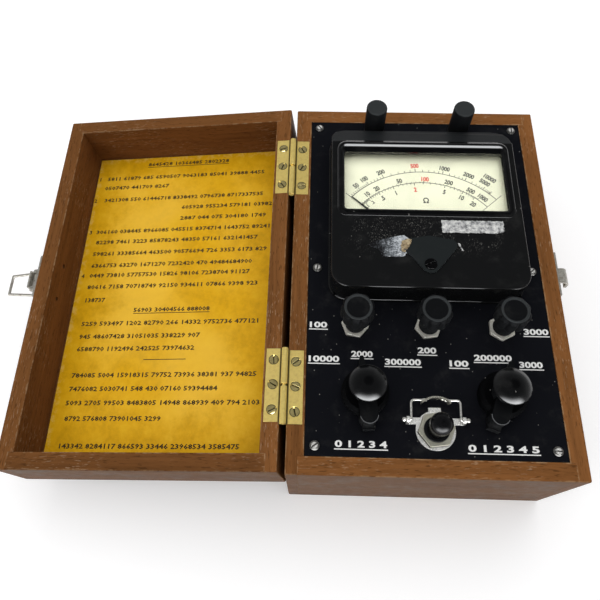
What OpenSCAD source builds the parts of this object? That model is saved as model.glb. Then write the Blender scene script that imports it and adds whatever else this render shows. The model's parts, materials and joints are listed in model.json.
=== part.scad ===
// Multi-range ohmmeter in a hinged wooden case, standing open as it is used.
// Lengths are in millimetres and angles in degrees. The origin is the middle of the
// underside of the base, with +X to the catch side, +Y to the back and +Z up.

/* [Case] */
// Width of the case, from hinge side to catch side
case_w = 166; // [162:1:190]
// Length of the case, from front to back
case_l = 254; // [252:1:300]
// Height of the base, from underside to rim
base_h = 86; // [80:1:120]
// Height of the lid, from top to rim
lid_h = 37; // [35:0.5:60]
// Thickness of the side and end boards
wall = 10.3; // [9.5:0.1:11.5]
// Thickness of the bottom board and the lid's top board
board_t = 5; // [4:0.5:8]
// Depth of the rebates at the corners and round the boards
rebate = 3.5; // [2:0.25:4]
// Margin of the instruction card inside the lid
card_margin = 1; // [0.5:0.5:12]
// Thickness of the instruction card
card_t = 0.5; // [0.3:0.1:1]

/* [Hinges] */
// Length of a hinge
hinge_l = 44; // [38:1:60]
// Width of a hinge leaf on the rim
hinge_w = 9; // [8.5:0.1:9.5]
// Thickness of a hinge leaf
hinge_t = 1.5; // [1.2:0.1:2]
// Distance of each hinge's middle from the end of the case
hinge_inset = 49.7; // [44:0.1:60]
// Diameter of the hinge knuckles
knuckle_d = 4.2; // [3.6:0.1:5]
// Diameter of the hinge pins
pin_d = 2; // [1.6:0.1:2.4]
// Play of the lid along the hinge pins
lid_shift = 1.2; // [0.6:0.1:2]
// Sag of the open lid below level
lid_tilt = 6.2; // [0:0.1:6.4]

/* [Panel] */
// Thickness of the control panel
panel_t = 3.2; // [2:0.2:5]
// Distance of the panel screws from the panel's edges
screw_inset = 5.5; // [5:0.5:8]
// Side of the square battens below the panel
batten = 12; // [10:0.5:14]
// Diameter of the wood screws' shanks
screw_d = 3; // [2.4:0.1:3.4]
// Diameter of the panel screws' heads
screw_head_d = 5.6; // [5:0.1:7]

/* [Meter] */
// Distance of the meter's sides from the panel's edges
meter_margin = 13.4; // [12.5:0.1:16]
// Height of the meter's face above the panel
meter_h = 20; // [19:0.5:24]
// Height of the meter's back edge above the panel
meter_back_h = 10; // [8:0.5:14]
// Corner radius of the meter's face
meter_r = 11; // [9:0.5:15]
// Wall of the meter's moulding
meter_wall = 2.6; // [2:0.1:3.2]
// Distance of the window from the meter's sides
window_margin = 8.25; // [7.5:0.05:14]
// Length of the window
window_l = 45.2; // [40:0.1:47]
// Width of the bezel round the window
bezel_w = 4.8; // [3.5:0.1:5]
// Height of the bezel above the face
bezel_h = 2.2; // [1:0.1:3]
// Distance of the window's centre behind the meter's centre
window_y = 14.4; // [12:0.1:15]
// Gap between the needle's sweep and the window's back edge
needle_gap = 11.8; // [6:0.1:16]
// Angle of the needle at rest, left of straight up
needle_rest = 48; // [30:1:50]

/* [Terminals] */
// Diameter of the terminals
term_d = 13.8; // [11:0.1:13.9]
// Height of the terminals above the panel
term_h = 24.5; // [16:0.5:28]
// Distance between the terminals
term_pitch = 58.2; // [40:0.2:80]
// Distance of the terminals from the panel's back edge
term_inset = 7.4; // [7:0.1:9]
// Gap between the terminals and the meter
term_gap = 0.6; // [0.5:0.1:1.2]

/* [Adjusters] */
// Gap between the outer adjusters' bodies and the battens
adj_clear = 1.9; // [1:0.1:6]
// Gap between the adjusters and the meter
adj_gap = 6.9; // [6:0.1:8]
// Diameter over the lobes of an adjuster knob
adj_d = 19.6; // [18:0.2:22]
// Height of an adjuster knob's top above the panel
adj_h = 28.5; // [22:0.5:30]
// Lobes round an adjuster knob
adj_lobes = 9; // [7:1:11]
// Diameter of the control shafts
shaft_d = 6.35; // [5:0.05:6.5]
// Width across the flats of the control nuts
nut_af = 14.3; // [13:0.1:16]
// Thickness of the control nuts
nut_t = 2.4; // [2:0.1:3]
// Turn of an adjuster knob as it stands
adj_turn = 12; // [0:1:40]

/* [Switches] */
// Gap between the switches' bodies and the battens
switch_clear = 2.9; // [1:0.1:5]
// Distance between the adjusters' row and the switches' row
switch_row = 42.2; // [40:0.1:44]
// Diameter of a switch knob's skirt
skirt_d = 27; // [25:0.5:30]
// Height of a switch knob's top above the panel
switch_h = 27; // [24:0.5:29]
// Diameter of a switch knob's domed cap
dome_d = 21; // [18:0.5:24]
// Reach of a switch knob's thumb bar
thumb_reach = 20; // [17:0.5:21]
// Width of a switch knob's thumb bar
thumb_w = 9.8; // [8:0.1:12]
// Turn of the function knob as it stands
function_turn = 5; // [-30:1:30]
// Turn of the range knob as it stands
range_turn = -20; // [-30:1:30]

/* [Push button] */
// Offset of the push button from the middle of the panel
button_x = 0.5; // [-3:0.1:3]
// Distance of the push button from the panel's front edge
button_inset = 15.2; // [15:0.1:18]
// Distance between the push button and the switches' row
button_row = 20.2; // [19.5:0.1:22]
// Diameter of the push button
button_d = 10.6; // [9:0.1:11.5]
// Height of the push button above the panel
button_h = 22.5; // [20:0.5:24]
// Travel of the push button
button_travel = 7; // [3:0.5:7]
// Diameter of the wire of the bail
bail_d = 1.6; // [1.2:0.1:1.8]
// Length of the bail's arms
bail_arm = 11; // [10.8:0.1:12]
// Half the width of the bail
bail_x = 13.8; // [13.4:0.1:15]
// Angle of the bail above the panel as it lies back
bail_rest = 8; // [0:1:40]

/* [Catch] */
// Length of the catch's plate and the keeper's plate along the case
catch_l = 30; // [28:1:40]
// Thickness of the catch's sheet metal
catch_t = 1.2; // [1:0.1:1.3]
// Diameter of the wire of the catch's loop
loop_d = 1.8; // [1.4:0.1:1.9]
// Length of the catch's loop
loop_l = 23; // [22.6:0.1:23.4]
// Angle of the loop from the lid's side as it stands out
loop_rest = 88; // [20:1:88]
// Width of the keeper's hook
hook_w = 10; // [8:0.5:11]

/* [Cell hatch] */
// Length of the sliding hatch
hatch_l = 92; // [70:1:100]
// Height of the hatch's outer face
hatch_h = 40; // [34:1:44]
// Thickness of the hatch
hatch_t = 4.6; // [4:0.1:5]
// Width of the cell unit, into the case
cell_w = 42; // [30:1:50]

/* [Hidden] */
$fn = 48;

// Clearances: a sliding fit, a fastener in its hole and an air gap
fit = 0.05;
hole_play = 0.1;
air = 0.3;
// Overshoot of a cut past the surface that it opens
cut = 1;

// Colours of the materials
wood_colour = "#7d4c2a";
black_colour = "#1d1e20";
panel_colour = "#242628";
brass_colour = "#c2a34e";
chrome_colour = "#c9ccce";
nickel_colour = "#a8a69e";
cream_colour = "#e6e2c4";
card_colour = "#c99528";
tan_colour = "#a98a5c";
copper_colour = "#b06a3a";

// Case
inner_w = case_w - 2 * wall;
inner_l = case_l - 2 * wall;
end_l = case_w - 2 * (wall - rebate);
sheet_w = inner_w + 2 * rebate;
sheet_l = inner_l + 2 * rebate;
panel_w = inner_w - 2 * air;
panel_l = inner_l - 2 * air;
rail_top = base_h - panel_t;
lid_depth = lid_h - board_t;

// Hinges: the axis lies in the plane of the rims, half a knuckle clear of the side boards
hinge_off = knuckle_d / 2 + fit;
hinge_x = -case_w / 2 - hinge_off;
hinge_sink = 0.05;
hinge_y = case_l / 2 - hinge_inset;
hinge_screw_pitch = hinge_l * 0.34;
csk_d = 2 * screw_d;
hinge_screw_l = 12;
knuckle_gap = 0.4;
knuckle_l = (hinge_l - knuckle_gap) / 2;
csk_sink = (csk_d - screw_d) / 2;

// Wood screws through the panel
wood_screw_l = 14;
screw_x = panel_w / 2 - screw_inset;
screw_y = panel_l / 2 - screw_inset;
screw_places = [for (x = [-screw_x, screw_x], y = [-screw_y, 0, screw_y]) [x, y]];
screw_head_h = 1.9;

// Rows on the panel, from the push button at the front to the terminals at the back
pot_d = 30;
wafer_d = 38;
button_y = button_inset - panel_l / 2;
switch_y = button_y + button_row;
adj_y = switch_y + switch_row;
term_y = panel_l / 2 - term_inset;
adj_pitch = inner_w / 2 - batten - adj_clear - pot_d / 2;
switch_x = inner_w / 2 - batten - switch_clear - wafer_d / 2;

// Meter: it fills what the rows leave
meter_front = adj_y + adj_d / 2 + adj_gap;
meter_rear = term_y - term_d / 2 - term_gap;
meter_l = meter_rear - meter_front;
meter_y = (meter_rear + meter_front) / 2;
meter_w = panel_w - 2 * meter_margin;
window_w = meter_w - 2 * window_margin;
plinth_h = 2.4;
plinth_w = 1.2;
win_y = meter_y + window_y;
bezel_back = 2.6;
bezel_outer_w = window_w + 2 * bezel_w;
bezel_outer_l = window_l + 2 * bezel_w + bezel_back;
bezel_y = win_y + bezel_back / 2;
bezel_r = 6;
slope_start = bezel_y + bezel_outer_l / 2;
slope_angle = atan2(meter_h - meter_back_h, meter_rear - slope_start);
face_under = meter_h - meter_wall;
flange_t = 2;
flange_w = meter_w - 2 * meter_wall - 2 * air;
flange_l = meter_l - 2 * meter_wall - 2 * air;
can_w = flange_w - 16.2;
can_l = flange_l - 5.8;
can_r = 8;
can_t = 2;
can_floor = -18;
magnet_d = 32;
magnet_clear = 1.2;
needle_y = meter_y - can_l / 2 + can_t + magnet_clear + magnet_d / 2;
needle_r = win_y + window_l / 2 - needle_gap - needle_y;
stud_d = 3.6;
stud_l = 10;
stud_x = (flange_w + can_w) / 4;
stud_y = can_l / 2 - can_r;
stud_nut_af = 7;
stud_nut_t = 3;
glass_t = 2;
glass_lap = 2.4;
glass_bottom = face_under - glass_t;
dial_t = 0.8;
dial_gap = 2.4;
dial_top = glass_bottom - dial_gap;
dial_w = window_w + 2 * glass_lap;
dial_l = window_l + 2 * glass_lap;
pillar_d = 5;
pillar_x = can_w / 2 - can_t - pillar_d;
needle_t = 0.5;
needle_z = dial_top + (dial_gap - needle_t) / 2;
staff_d = 1.2;
magnet_bore = 21;
magnet_h = 15;
bridge_t = 2;
bridge_w = 5;
bridge_x = magnet_d / 2 + 4;
bridge_z = can_floor + magnet_h + air;
boss_d = 5;
boss_top = bridge_z + bridge_t + 1.6;
magnet_floor = 1.5;
hair_z = boss_top + 0.6;
hair_h = 0.6;
hair_t = 0.2;
hair_turns = 4;
hair_pitch = 0.9;
hair_in = staff_d / 2 + fit + hair_t / 2;
hair_post_d = 1.6;
hair_post_x = hair_in + hair_pitch * hair_turns + hair_t / 2 + hair_post_d / 2;
hub_d = 5;
needle_tail = 9;
needle_w = 1.6;
tip_w = 0.5;
tail_w = 2.4;
coil_w = 15;
coil_t = 2;
coil_z = can_floor + 2.5;
coil_h = magnet_h - 5;
shield_t = 1.2;
shield_foot_r = 5.6;
shield_r = 4;
shield_x = 12.6;
shield_y = 13;
shield_back = 15.4;
zero_shank = 4;
zero_y = needle_y - 9.9;
zero_d = 7;

// Terminals
term_x = term_pitch / 2;
collar_h = 4;
term_stud_d = 4;
term_stud_h = 17;
nut_places = concat(
    [for (x = [-stud_x, stud_x], y = [-stud_y, stud_y]) [x, meter_y + y]],
    [for (x = [-term_x, term_x]) [x, term_y]]);

// Controls
bush_d = 9.5;
bush_h = 6;
pot_h = 13;
neck_d = 12;
dish_r = adj_d * 0.27;
dish_h = 0.6;
neck_z = nut_t + 0.6;
head_z = 14;
shaft_top = adj_h - 7;
lobe_d = 4;
control_places = concat(
    [for (i = [-1:1]) [i * adj_pitch, adj_y]],
    [for (s = [-1, 1]) [s * switch_x, switch_y]]);
wafer_t = 1.6;
wafer_gap = 9;
detent_d = 28;
detent_h = 8;
spacer_r = 15;
spacer_d = 5;
dome_h = 4.5;
thumb_h = 14;
skirt_h = 9;
skirt_gap = 0.8;
tip_reach = thumb_reach + 1;
tip_h = 7;
toe_reach = thumb_reach + 1.4;
toe_w = thumb_w * 0.72;
toe_h = 5;
rotor_d = 22;
rotor_t = 2;
wafer_z = -panel_t - detent_h - wafer_gap - wafer_t;
rotor_z = -panel_t - detent_h - air - rotor_t;

// Push button
bush_r = button_d / 2 + 1.8;
head_d = button_d + 1.8;
head_dome = 4;
head_low = button_h - 8;
flange_h = 0.8;
flange_low = head_low - 2 * flange_h;
guard_t = 1.2;
guard_r = 11.1;
button_nut_af = 18.4;
button_nut_t = 3;
button_bush_top = guard_t + button_nut_t + 0.8;
button_foot = -4;
spring_h = 7 + button_travel;
button_floor = button_foot - spring_h;
spring_wire = 0.9;
spring_turns = 6;
spring_r = button_d / 2 - spring_wire - 0.4;
ear_y = 5.2;
ear_z = 4;
ear_x = bail_x + 1.8;
ear_t = 1.6;
ear_r = 1.9;
ball_d = 2.6;
tab_w = 7;
tab_reach = 12.9;
saddle_x = 8;
saddle_h = 6;
saddle_t = 1;
saddle_r = 12.2;
saddle_top = bail_arm + 2;

// Catch: u is out from the lid's side, and v is down from its rim
catch_h = 22;
catch_v = 0.6;
lever_pivot = [6, 8];
loop_pivot = [3.6, 13];
lever_w = 12;
lever_face = 8;
lever_end = 30;
lever_pin_d = 2.2;
cheek_t = 1;
ear_gap = air;
loop_y = lever_w / 2 + ear_gap + catch_t + air + loop_d / 2;
loop_end_y = hook_w / 2 + 1 + loop_d / 2;
catch_screw_y = catch_l / 2 - 2.7;
catch_head_d = 4.6;
hook_r = 3;
hook_t = 1.6;
hook_v = -8;
lip_l = 3.2;
keeper_v = -1;
keeper_h = 21;

// Cell hatch
hatch_lip = 2;
hatch_z = 31;
hatch_y = case_l / 2 - hatch_l / 2;
cell_h = hatch_h - 2 * hatch_lip - 2;
cell_l = hatch_l - 28;
cell_z = hatch_z - cell_h / 2;
rail_w = 10;

// Shared shapes

module on_panel() {
    translate([0, 0, base_h]) children();
}

// Lid frame: origin on the hinge axis, rim in z = 0, lid reaching to -X and -Z
module lid_pose() {
    translate([hinge_x, lid_shift, base_h]) rotate([0, -lid_tilt, 0]) children();
}

// Catch frame on the lid: x is out from its side and z is down from its rim
module catch_pose() {
    lid_pose() translate([-hinge_off - case_w, -lid_shift, 0]) rotate([0, 180, 0]) children();
}

module round_rect(w, l, r) {
    square([w - 2 * r, l], center = true);
    square([w, l - 2 * r], center = true);
    for (x = [-1, 1], y = [-1, 1]) translate([x * (w / 2 - r), y * (l / 2 - r)]) circle(r);
}

module hexagon(af, h) {
    cylinder(h = h, d = af / cos(30), $fn = 6);
}

module nut(af, h, bore) {
    difference() {
        hexagon(af, h);
        translate([0, 0, -cut]) cylinder(h = h + 2 * cut, d = bore);
    }
}

// A round wire between two points
module wire(a, b, d) {
    v = b - a;
    n = norm(v);
    translate(a) rotate([0, acos(v[2] / n), atan2(v[1], v[0])]) cylinder(h = n, d = d);
}

// Wire along a row of points, rounded where it bends
module wire_path(points, d) {
    for (i = [0:len(points) - 2]) wire(points[i], points[i + 1], d);
    for (i = [1:len(points) - 2]) translate(points[i]) sphere(d = d);
}

module slot(d, w, depth, turn) {
    rotate([0, 0, turn]) translate([-d, -w / 2, -depth]) cube([2 * d, w, depth + cut]);
}

// Slotted wood screw with a low round head, its head standing on z = 0
module round_screw(head_d, head_h, l, turn) {
    difference() {
        union() {
            intersection() {
                cylinder(h = head_h, d = head_d);
                translate([0, 0, head_h - head_d * 0.7]) sphere(d = head_d * 1.4);
            }
            translate([0, 0, -l]) cylinder(h = l + head_h / 2, d = screw_d);
        }
        translate([0, 0, head_h]) slot(head_d, 0.9, 1, turn);
    }
}

// Slotted countersunk screw, the top of its head in z = 0
module csk_screw(l, turn) {
    difference() {
        union() {
            translate([0, 0, -csk_sink]) cylinder(h = csk_sink, d1 = screw_d, d2 = csk_d);
            translate([0, 0, -l]) cylinder(h = l - csk_sink / 2, d = screw_d);
        }
        slot(csk_d, 0.8, 0.7, turn);
    }
}

module csk_hole(l) {
    translate([0, 0, -csk_sink - hole_play])
        cylinder(h = csk_sink + hole_play, d1 = screw_d + 2 * hole_play, d2 = csk_d + 2 * hole_play);
    translate([0, 0, -l - hole_play]) cylinder(h = l, d = screw_d + 2 * hole_play);
}

// Case boards

// A board along one side, its outer face on the left, standing from z = 0 to h.
// The sheet is the bottom or top board let into its lower inner edge.
module side_board(h) {
    difference() {
        translate([0, -case_l / 2, 0]) cube([wall, case_l, h]);
        for (s = [-1, 1])
            translate([wall - rebate, s * (case_l - wall) / 2 - wall / 2 - (s < 0 ? cut : 0), -cut])
                cube([rebate + cut, wall + cut, h + 2 * cut]);
        translate([wall - rebate, -sheet_l / 2, -cut]) cube([rebate + cut, sheet_l, board_t + cut]);
    }
}

// A board across one end, its outer face to the front, let into the side boards
module end_board(h) {
    difference() {
        translate([-end_l / 2, 0, 0]) cube([end_l, wall, h]);
        translate([-end_l / 2 - cut, wall - rebate, -cut])
            cube([end_l + 2 * cut, rebate + cut, board_t + cut]);
    }
}

module hinge_places() {
    for (s = [-1, 1]) translate([0, s * hinge_y, 0]) children();
}

// Cuts in a rim for one leaf and its screws; the rim is z = 0 and the side's face x = 0
module hinge_seat() {
    translate([-cut, -hinge_l / 2 - hole_play, -hinge_t - hinge_sink])
        cube([hinge_w + hole_play + cut, hinge_l + 2 * hole_play, hinge_t + hinge_sink + cut]);
    for (i = [-1:1])
        translate([hinge_w / 2, i * hinge_screw_pitch, -hinge_screw_l - cut])
            cylinder(h = hinge_screw_l + 2 * cut, d = screw_d + 2 * hole_play);
}

// One leaf with its half knuckle at the front; the side's face is x = 0
module hinge_leaf() {
    difference() {
        union() {
            translate([fit, -hinge_l / 2, -hinge_t - hinge_sink]) cube([hinge_w - fit, hinge_l, hinge_t]);
            translate([-hinge_off, -hinge_l / 2, -hinge_t - hinge_sink])
                cube([hinge_off + 2 * fit, knuckle_l, hinge_t]);
            translate([-hinge_off, -hinge_l / 2, 0]) rotate([-90, 0, 0])
                cylinder(h = knuckle_l, d = knuckle_d);
        }
        translate([-hinge_off, -hinge_l / 2 - cut, 0]) rotate([-90, 0, 0])
            cylinder(h = hinge_l + 2 * cut, d = pin_d + 2 * fit);
        for (i = [-1:1])
            translate([hinge_w / 2, i * hinge_screw_pitch, -hinge_sink]) csk_hole(hinge_screw_l);
    }
}

module hinge_screws() {
    for (s = [-1, 1], i = [-1:1])
        translate([hinge_w / 2, s * hinge_y + i * hinge_screw_pitch, -hinge_sink])
            csk_screw(hinge_screw_l, 57 * i + 40 * s + 20);
}

// Base

module base_left() {
    color(wood_colour) difference() {
        translate([-case_w / 2, 0, 0]) side_board(base_h);
        translate([-case_w / 2, 0, base_h]) hinge_places() hinge_seat();
        hatch_shape(hole_play, cut);
        translate([-case_w / 2 - cut, hatch_y - cell_l / 2 - 1, cell_z - 1])
            cube([wall + 2 * cut, cell_l + 2, cell_h + 2]);
    }
}

module base_right() {
    color(wood_colour) difference() {
        mirror([1, 0, 0]) translate([-case_w / 2, 0, 0]) side_board(base_h);
        keeper_screw_places() translate([0, 0, -wall])
            cylinder(h = wall + cut, d = screw_d + 2 * hole_play);
    }
}

module base_ends() {
    color(wood_colour) for (turn = [0, 180])
        rotate([0, 0, turn]) translate([0, -case_l / 2, 0]) end_board(base_h);
}

module base_bottom() {
    color(tan_colour) translate([-sheet_w / 2, -sheet_l / 2, 0]) cube([sheet_w, sheet_l, board_t]);
}

// Two battens that carry the panel, and two rails that carry the cell unit
module inner_battens() {
    color(tan_colour) {
        difference() {
            for (s = [-1, 1])
                translate([s * (inner_w - batten) / 2 - batten / 2, -inner_l / 2, rail_top - batten])
                    cube([batten, inner_l, batten]);
            for (p = screw_places)
                translate([p[0], p[1], rail_top - wood_screw_l])
                    cylinder(h = wood_screw_l + cut, d = screw_d + 2 * hole_play);
        }
        for (s = [-1, 1])
            translate([-inner_w / 2, hatch_y + s * (cell_l / 2 - rail_w / 2) - rail_w / 2, board_t])
                cube([cell_w, rail_w, cell_z - board_t]);
    }
}

module panel() {
    color(panel_colour) on_panel() difference() {
        translate([-panel_w / 2, -panel_l / 2, -panel_t]) cube([panel_w, panel_l, panel_t]);
        for (p = screw_places) translate([p[0], p[1], 0]) panel_hole(screw_d + 2 * hole_play);
        for (p = nut_places) translate([p[0], p[1], 0]) panel_hole(term_stud_d + 2 * hole_play);
        for (p = control_places) translate([p[0], p[1], 0]) panel_hole(bush_d + 2 * hole_play);
        translate([button_x, button_y, 0]) panel_hole(2 * bush_r + 2 * hole_play);
        translate([0, meter_y, -panel_t - cut]) linear_extrude(panel_t + 2 * cut)
            round_rect(can_w + 2 * air, can_l + 2 * air, can_r + air);
    }
}

module panel_hole(d) {
    translate([0, 0, -panel_t - cut]) cylinder(h = panel_t + 2 * cut, d = d);
}

module panel_screws() {
    color(chrome_colour) on_panel() for (i = [0:len(screw_places) - 1])
        translate([screw_places[i][0], screw_places[i][1], 0])
            round_screw(screw_head_d, screw_head_h, wood_screw_l, 35 + 47 * i);
}

module base_hinge_leaves() {
    color(brass_colour) translate([-case_w / 2, 0, base_h]) hinge_places() hinge_leaf();
}

module hinge_pins() {
    color(nickel_colour) translate([hinge_x, 0, base_h]) hinge_places()
        translate([0, -hinge_l / 2, 0]) rotate([-90, 0, 0]) cylinder(h = hinge_l, d = pin_d);
}

module base_hinge_screws() {
    color(brass_colour) translate([-case_w / 2, 0, base_h]) hinge_screws();
}

// Catch and keeper

// Screws of the keeper, their axes out of the right side board
module keeper_screw_places() {
    for (s = [-1, 1]) translate([case_w / 2, s * catch_screw_y, base_h + keeper_v - keeper_h / 2])
        rotate([0, 90, 0]) children();
}

module keeper_plate() {
    color(nickel_colour) difference() {
        translate([case_w / 2, 0, base_h]) {
            translate([0, -catch_l / 2, keeper_v - keeper_h]) cube([catch_t, catch_l, keeper_h]);
            translate([catch_t + hook_r, hook_w / 2, hook_v]) rotate([90, 0, 0])
                linear_extrude(hook_w) hook_profile();
        }
        keeper_screw_places() translate([0, 0, -cut])
            cylinder(h = catch_t + 2 * cut, d = screw_d + 2 * hole_play);
    }
}

// Hook that curls out from the plate and down
module hook_profile() {
    room = 2 * (hook_r + hook_t);
    difference() {
        circle(hook_r + hook_t);
        circle(hook_r);
        translate([-room, -room]) square([2 * room, room]);
        translate([-room - hook_r, -cut]) square([room, room]);
    }
    translate([hook_r, -lip_l]) square([hook_t, lip_l]);
}

module keeper_screws() {
    color(nickel_colour) keeper_screw_places() translate([0, 0, catch_t])
        round_screw(catch_head_d, 1.4, wall, 25);
}

module catch_plate() {
    color(nickel_colour) catch_pose() {
        difference() {
            translate([0, -catch_l / 2, catch_v]) cube([catch_t, catch_l, catch_h]);
            for (s = [-1, 1]) translate([-cut, s * catch_screw_y, catch_v + catch_h / 2]) rotate([0, 90, 0])
                cylinder(h = catch_t + 2 * cut, d = screw_d + 2 * hole_play);
        }
        for (s = [-1, 1]) translate([0, s * (lever_w / 2 + ear_gap + catch_t / 2) + catch_t / 2, 0])
            rotate([90, 0, 0]) linear_extrude(catch_t) catch_ear();
        translate([lever_pivot[0], -lever_w / 2 - ear_gap - catch_t, lever_pivot[1]]) rotate([-90, 0, 0])
            cylinder(h = lever_w + 2 * ear_gap + 2 * catch_t, d = lever_pin_d);
    }
}

// Ear that carries the lever's pin, in u and v
module catch_ear() {
    r = 2.3;
    foot = 3.2;
    translate(lever_pivot) circle(r);
    polygon([
        [0, lever_pivot[1] - foot], lever_pivot - [0, r],
        lever_pivot + [0, r], [0, lever_pivot[1] + foot]]);
}

// Lever pressed from sheet: a bowed face with a rolled end, and a cheek at each edge
module catch_lever() {
    color(nickel_colour) catch_pose() difference() {
        union() {
            translate([lever_face, -lever_w / 2, lever_pivot[1] - 3])
                cube([catch_t, lever_w, lever_end - lever_pivot[1] + 3]);
            translate([lever_face + catch_t, -lever_w / 2, lever_end]) rotate([-90, 0, 0])
                cylinder(h = lever_w, d = 2 * catch_t);
            for (s = [-1, 1]) translate([0, s * (lever_w - cheek_t) / 2 + cheek_t / 2, 0])
                rotate([90, 0, 0]) linear_extrude(cheek_t) cheek();
        }
        lever_bore(lever_pivot, lever_pin_d);
        lever_bore(loop_pivot, loop_d);
    }
}

module lever_bore(p, d) {
    translate([p[0], -lever_w, p[1]]) rotate([-90, 0, 0]) cylinder(h = 2 * lever_w, d = d + 2 * fit);
}

module cheek() {
    translate(lever_pivot) circle(2.3);
    translate(loop_pivot) circle(1.8);
    polygon([
        lever_pivot - [2.2, -0.8], loop_pivot - [1.7, 0.6], loop_pivot + [0, 1.8],
        [lever_face + cut / 2, loop_pivot[1] + 5], [lever_face + cut / 2, lever_pivot[1] - 2],
        lever_pivot - [0, 2.3]]);
}

// Wire loop, hung in the lever's cheeks and wide enough to pass over the hook
module catch_loop() {
    ends = [for (s = [-1, 1]) [0, s * (lever_w / 2 - cheek_t - 0.4), 0]];
    color(nickel_colour) catch_pose() translate([loop_pivot[0], 0, loop_pivot[1]]) rotate([0, loop_rest, 0])
        wire_path([
            ends[0], [0, -loop_y, 0], [0, -loop_end_y, loop_l],
            [0, loop_end_y, loop_l], [0, loop_y, 0], ends[1]], loop_d);
}

module catch_screws() {
    color(nickel_colour) catch_pose() for (s = [-1, 1])
        translate([catch_t, s * catch_screw_y, catch_v + catch_h / 2]) rotate([0, 90, 0])
            round_screw(catch_head_d, 1.4, wall, 60 + 30 * s);
}

// Cell hatch, in the hinge side's board and sliding out to the back

// The hatch has a lip above and below that runs in a groove
module hatch_shape(play, open) {
    translate([-case_w / 2 - open, hatch_y - hatch_l / 2 - play, hatch_z - hatch_h / 2 - play])
        cube([hatch_t / 2 + open + play, hatch_l + play + open, hatch_h + 2 * play]);
    tongue_h = hatch_h + 2 * hatch_lip;
    tongue_x = -case_w / 2 + hatch_t / 2;
    translate([tongue_x - play, hatch_y - hatch_l / 2 - play, hatch_z - tongue_h / 2 - play])
        cube([hatch_t / 2 + 2 * play, hatch_l + play + open, tongue_h + 2 * play]);
}

module hatch_screw_place() {
    translate([-case_w / 2, hatch_y - hatch_l / 2 + 8, hatch_z]) rotate([0, -90, 0]) children();
}

module cell_hatch() {
    color(wood_colour) difference() {
        hatch_shape(0, 0);
        hatch_screw_place() csk_hole(hatch_t + 2 * cut);
        translate([-case_w / 2 - 5, hatch_y + hatch_l / 2 - 10, hatch_z - 9]) cylinder(h = 18, r = 7);
    }
}

module hatch_screw() {
    color(brass_colour) hatch_screw_place() csk_screw(hatch_t, 15);
}

// Block of dry cells in its card sleeve, with two contact studs on its inner end
module cell_unit() {
    color(card_colour) translate([-inner_w / 2, hatch_y, cell_z]) {
        translate([0, -cell_l / 2, 0]) cube([cell_w, cell_l, cell_h]);
        for (s = [-1, 1]) translate([cell_w, s * cell_l / 4, cell_h / 2]) rotate([0, 90, 0]) {
            cylinder(h = 2, d = 9);
            cylinder(h = 4, d = 5);
        }
    }
}

// Meter

module above_slope(inset) {
    translate([-meter_w, slope_start, meter_h]) rotate([-slope_angle, 0, 0])
        translate([0, -meter_l, -inset]) cube([2 * meter_w, 2 * meter_l, meter_l]);
}

// The meter's block, shrunk by an inset on every side but its foot
module meter_block(inset) {
    difference() {
        translate([0, meter_y, 0]) linear_extrude(meter_h - inset)
            round_rect(meter_w - 2 * inset, meter_l - 2 * inset, meter_r - inset);
        above_slope(inset);
    }
}

module bezel() {
    step = bezel_h * 0.4;
    translate([0, bezel_y, meter_h - cut]) {
        linear_extrude(cut + bezel_h - step) round_rect(bezel_outer_w, bezel_outer_l, bezel_r);
        linear_extrude(cut + bezel_h)
            round_rect(bezel_outer_w - 2 * step, bezel_outer_l - 2 * step, bezel_r - step);
    }
}

module meter_case() {
    color(black_colour) on_panel() difference() {
        union() {
            meter_block(0);
            translate([0, meter_y, 0]) linear_extrude(plinth_h)
                round_rect(meter_w + 2 * plinth_w, meter_l + 2 * plinth_w - 1.6, meter_r + plinth_w - 0.8);
            bezel();
        }
        translate([0, 0, -cut]) linear_extrude(cut + fit) translate([0, meter_y])
            round_rect(meter_w - 2 * meter_wall, meter_l - 2 * meter_wall, meter_r - meter_wall);
        meter_block(meter_wall);
        translate([0, win_y, 0]) linear_extrude(meter_h + bezel_h + cut) round_rect(window_w, window_l, 2);
        translate([0, zero_y, 0]) cylinder(h = meter_h + cut, d = zero_shank + 2 * fit);
    }
}

// Tray behind the panel, with the flange and studs that hold it and the dial's pillars
module meter_back() {
    color(black_colour) on_panel() {
        translate([0, meter_y, 0]) {
            difference() {
                union() {
                    linear_extrude(flange_t) round_rect(flange_w, flange_l, meter_r - meter_wall - air);
                    translate([0, 0, can_floor - can_t]) linear_extrude(-can_floor + can_t)
                        round_rect(can_w, can_l, can_r);
                }
                translate([0, 0, can_floor]) linear_extrude(-can_floor + flange_t + cut)
                    round_rect(can_w - 2 * can_t, can_l - 2 * can_t, can_r - can_t);
            }
            for (x = [-stud_x, stud_x], y = [-stud_y, stud_y])
                translate([x, y, -stud_l]) cylinder(h = stud_l + cut, d = stud_d);
        }
        for (s = [-1, 1]) translate([s * pillar_x, win_y, can_floor])
            cylinder(h = dial_top - dial_t - can_floor, d = pillar_d);
    }
}

module meter_glass() {
    color("#cfe0e4", 0.3) on_panel() translate([0, win_y, glass_bottom]) linear_extrude(glass_t)
        round_rect(window_w + 2 * glass_lap, window_l + 2 * glass_lap, 3);
}

module dial_plate() {
    color(cream_colour) on_panel() translate([0, win_y, dial_top - dial_t]) linear_extrude(dial_t)
        square([dial_w, dial_l], center = true);
}

// Cup magnet of the movement; the staff's lower bearing is its floor
module meter_magnet() {
    color(nickel_colour) on_panel() translate([0, needle_y, can_floor]) difference() {
        cylinder(h = magnet_h, d = magnet_d);
        translate([0, 0, magnet_floor]) cylinder(h = magnet_h, d = magnet_bore);
    }
}

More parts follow.
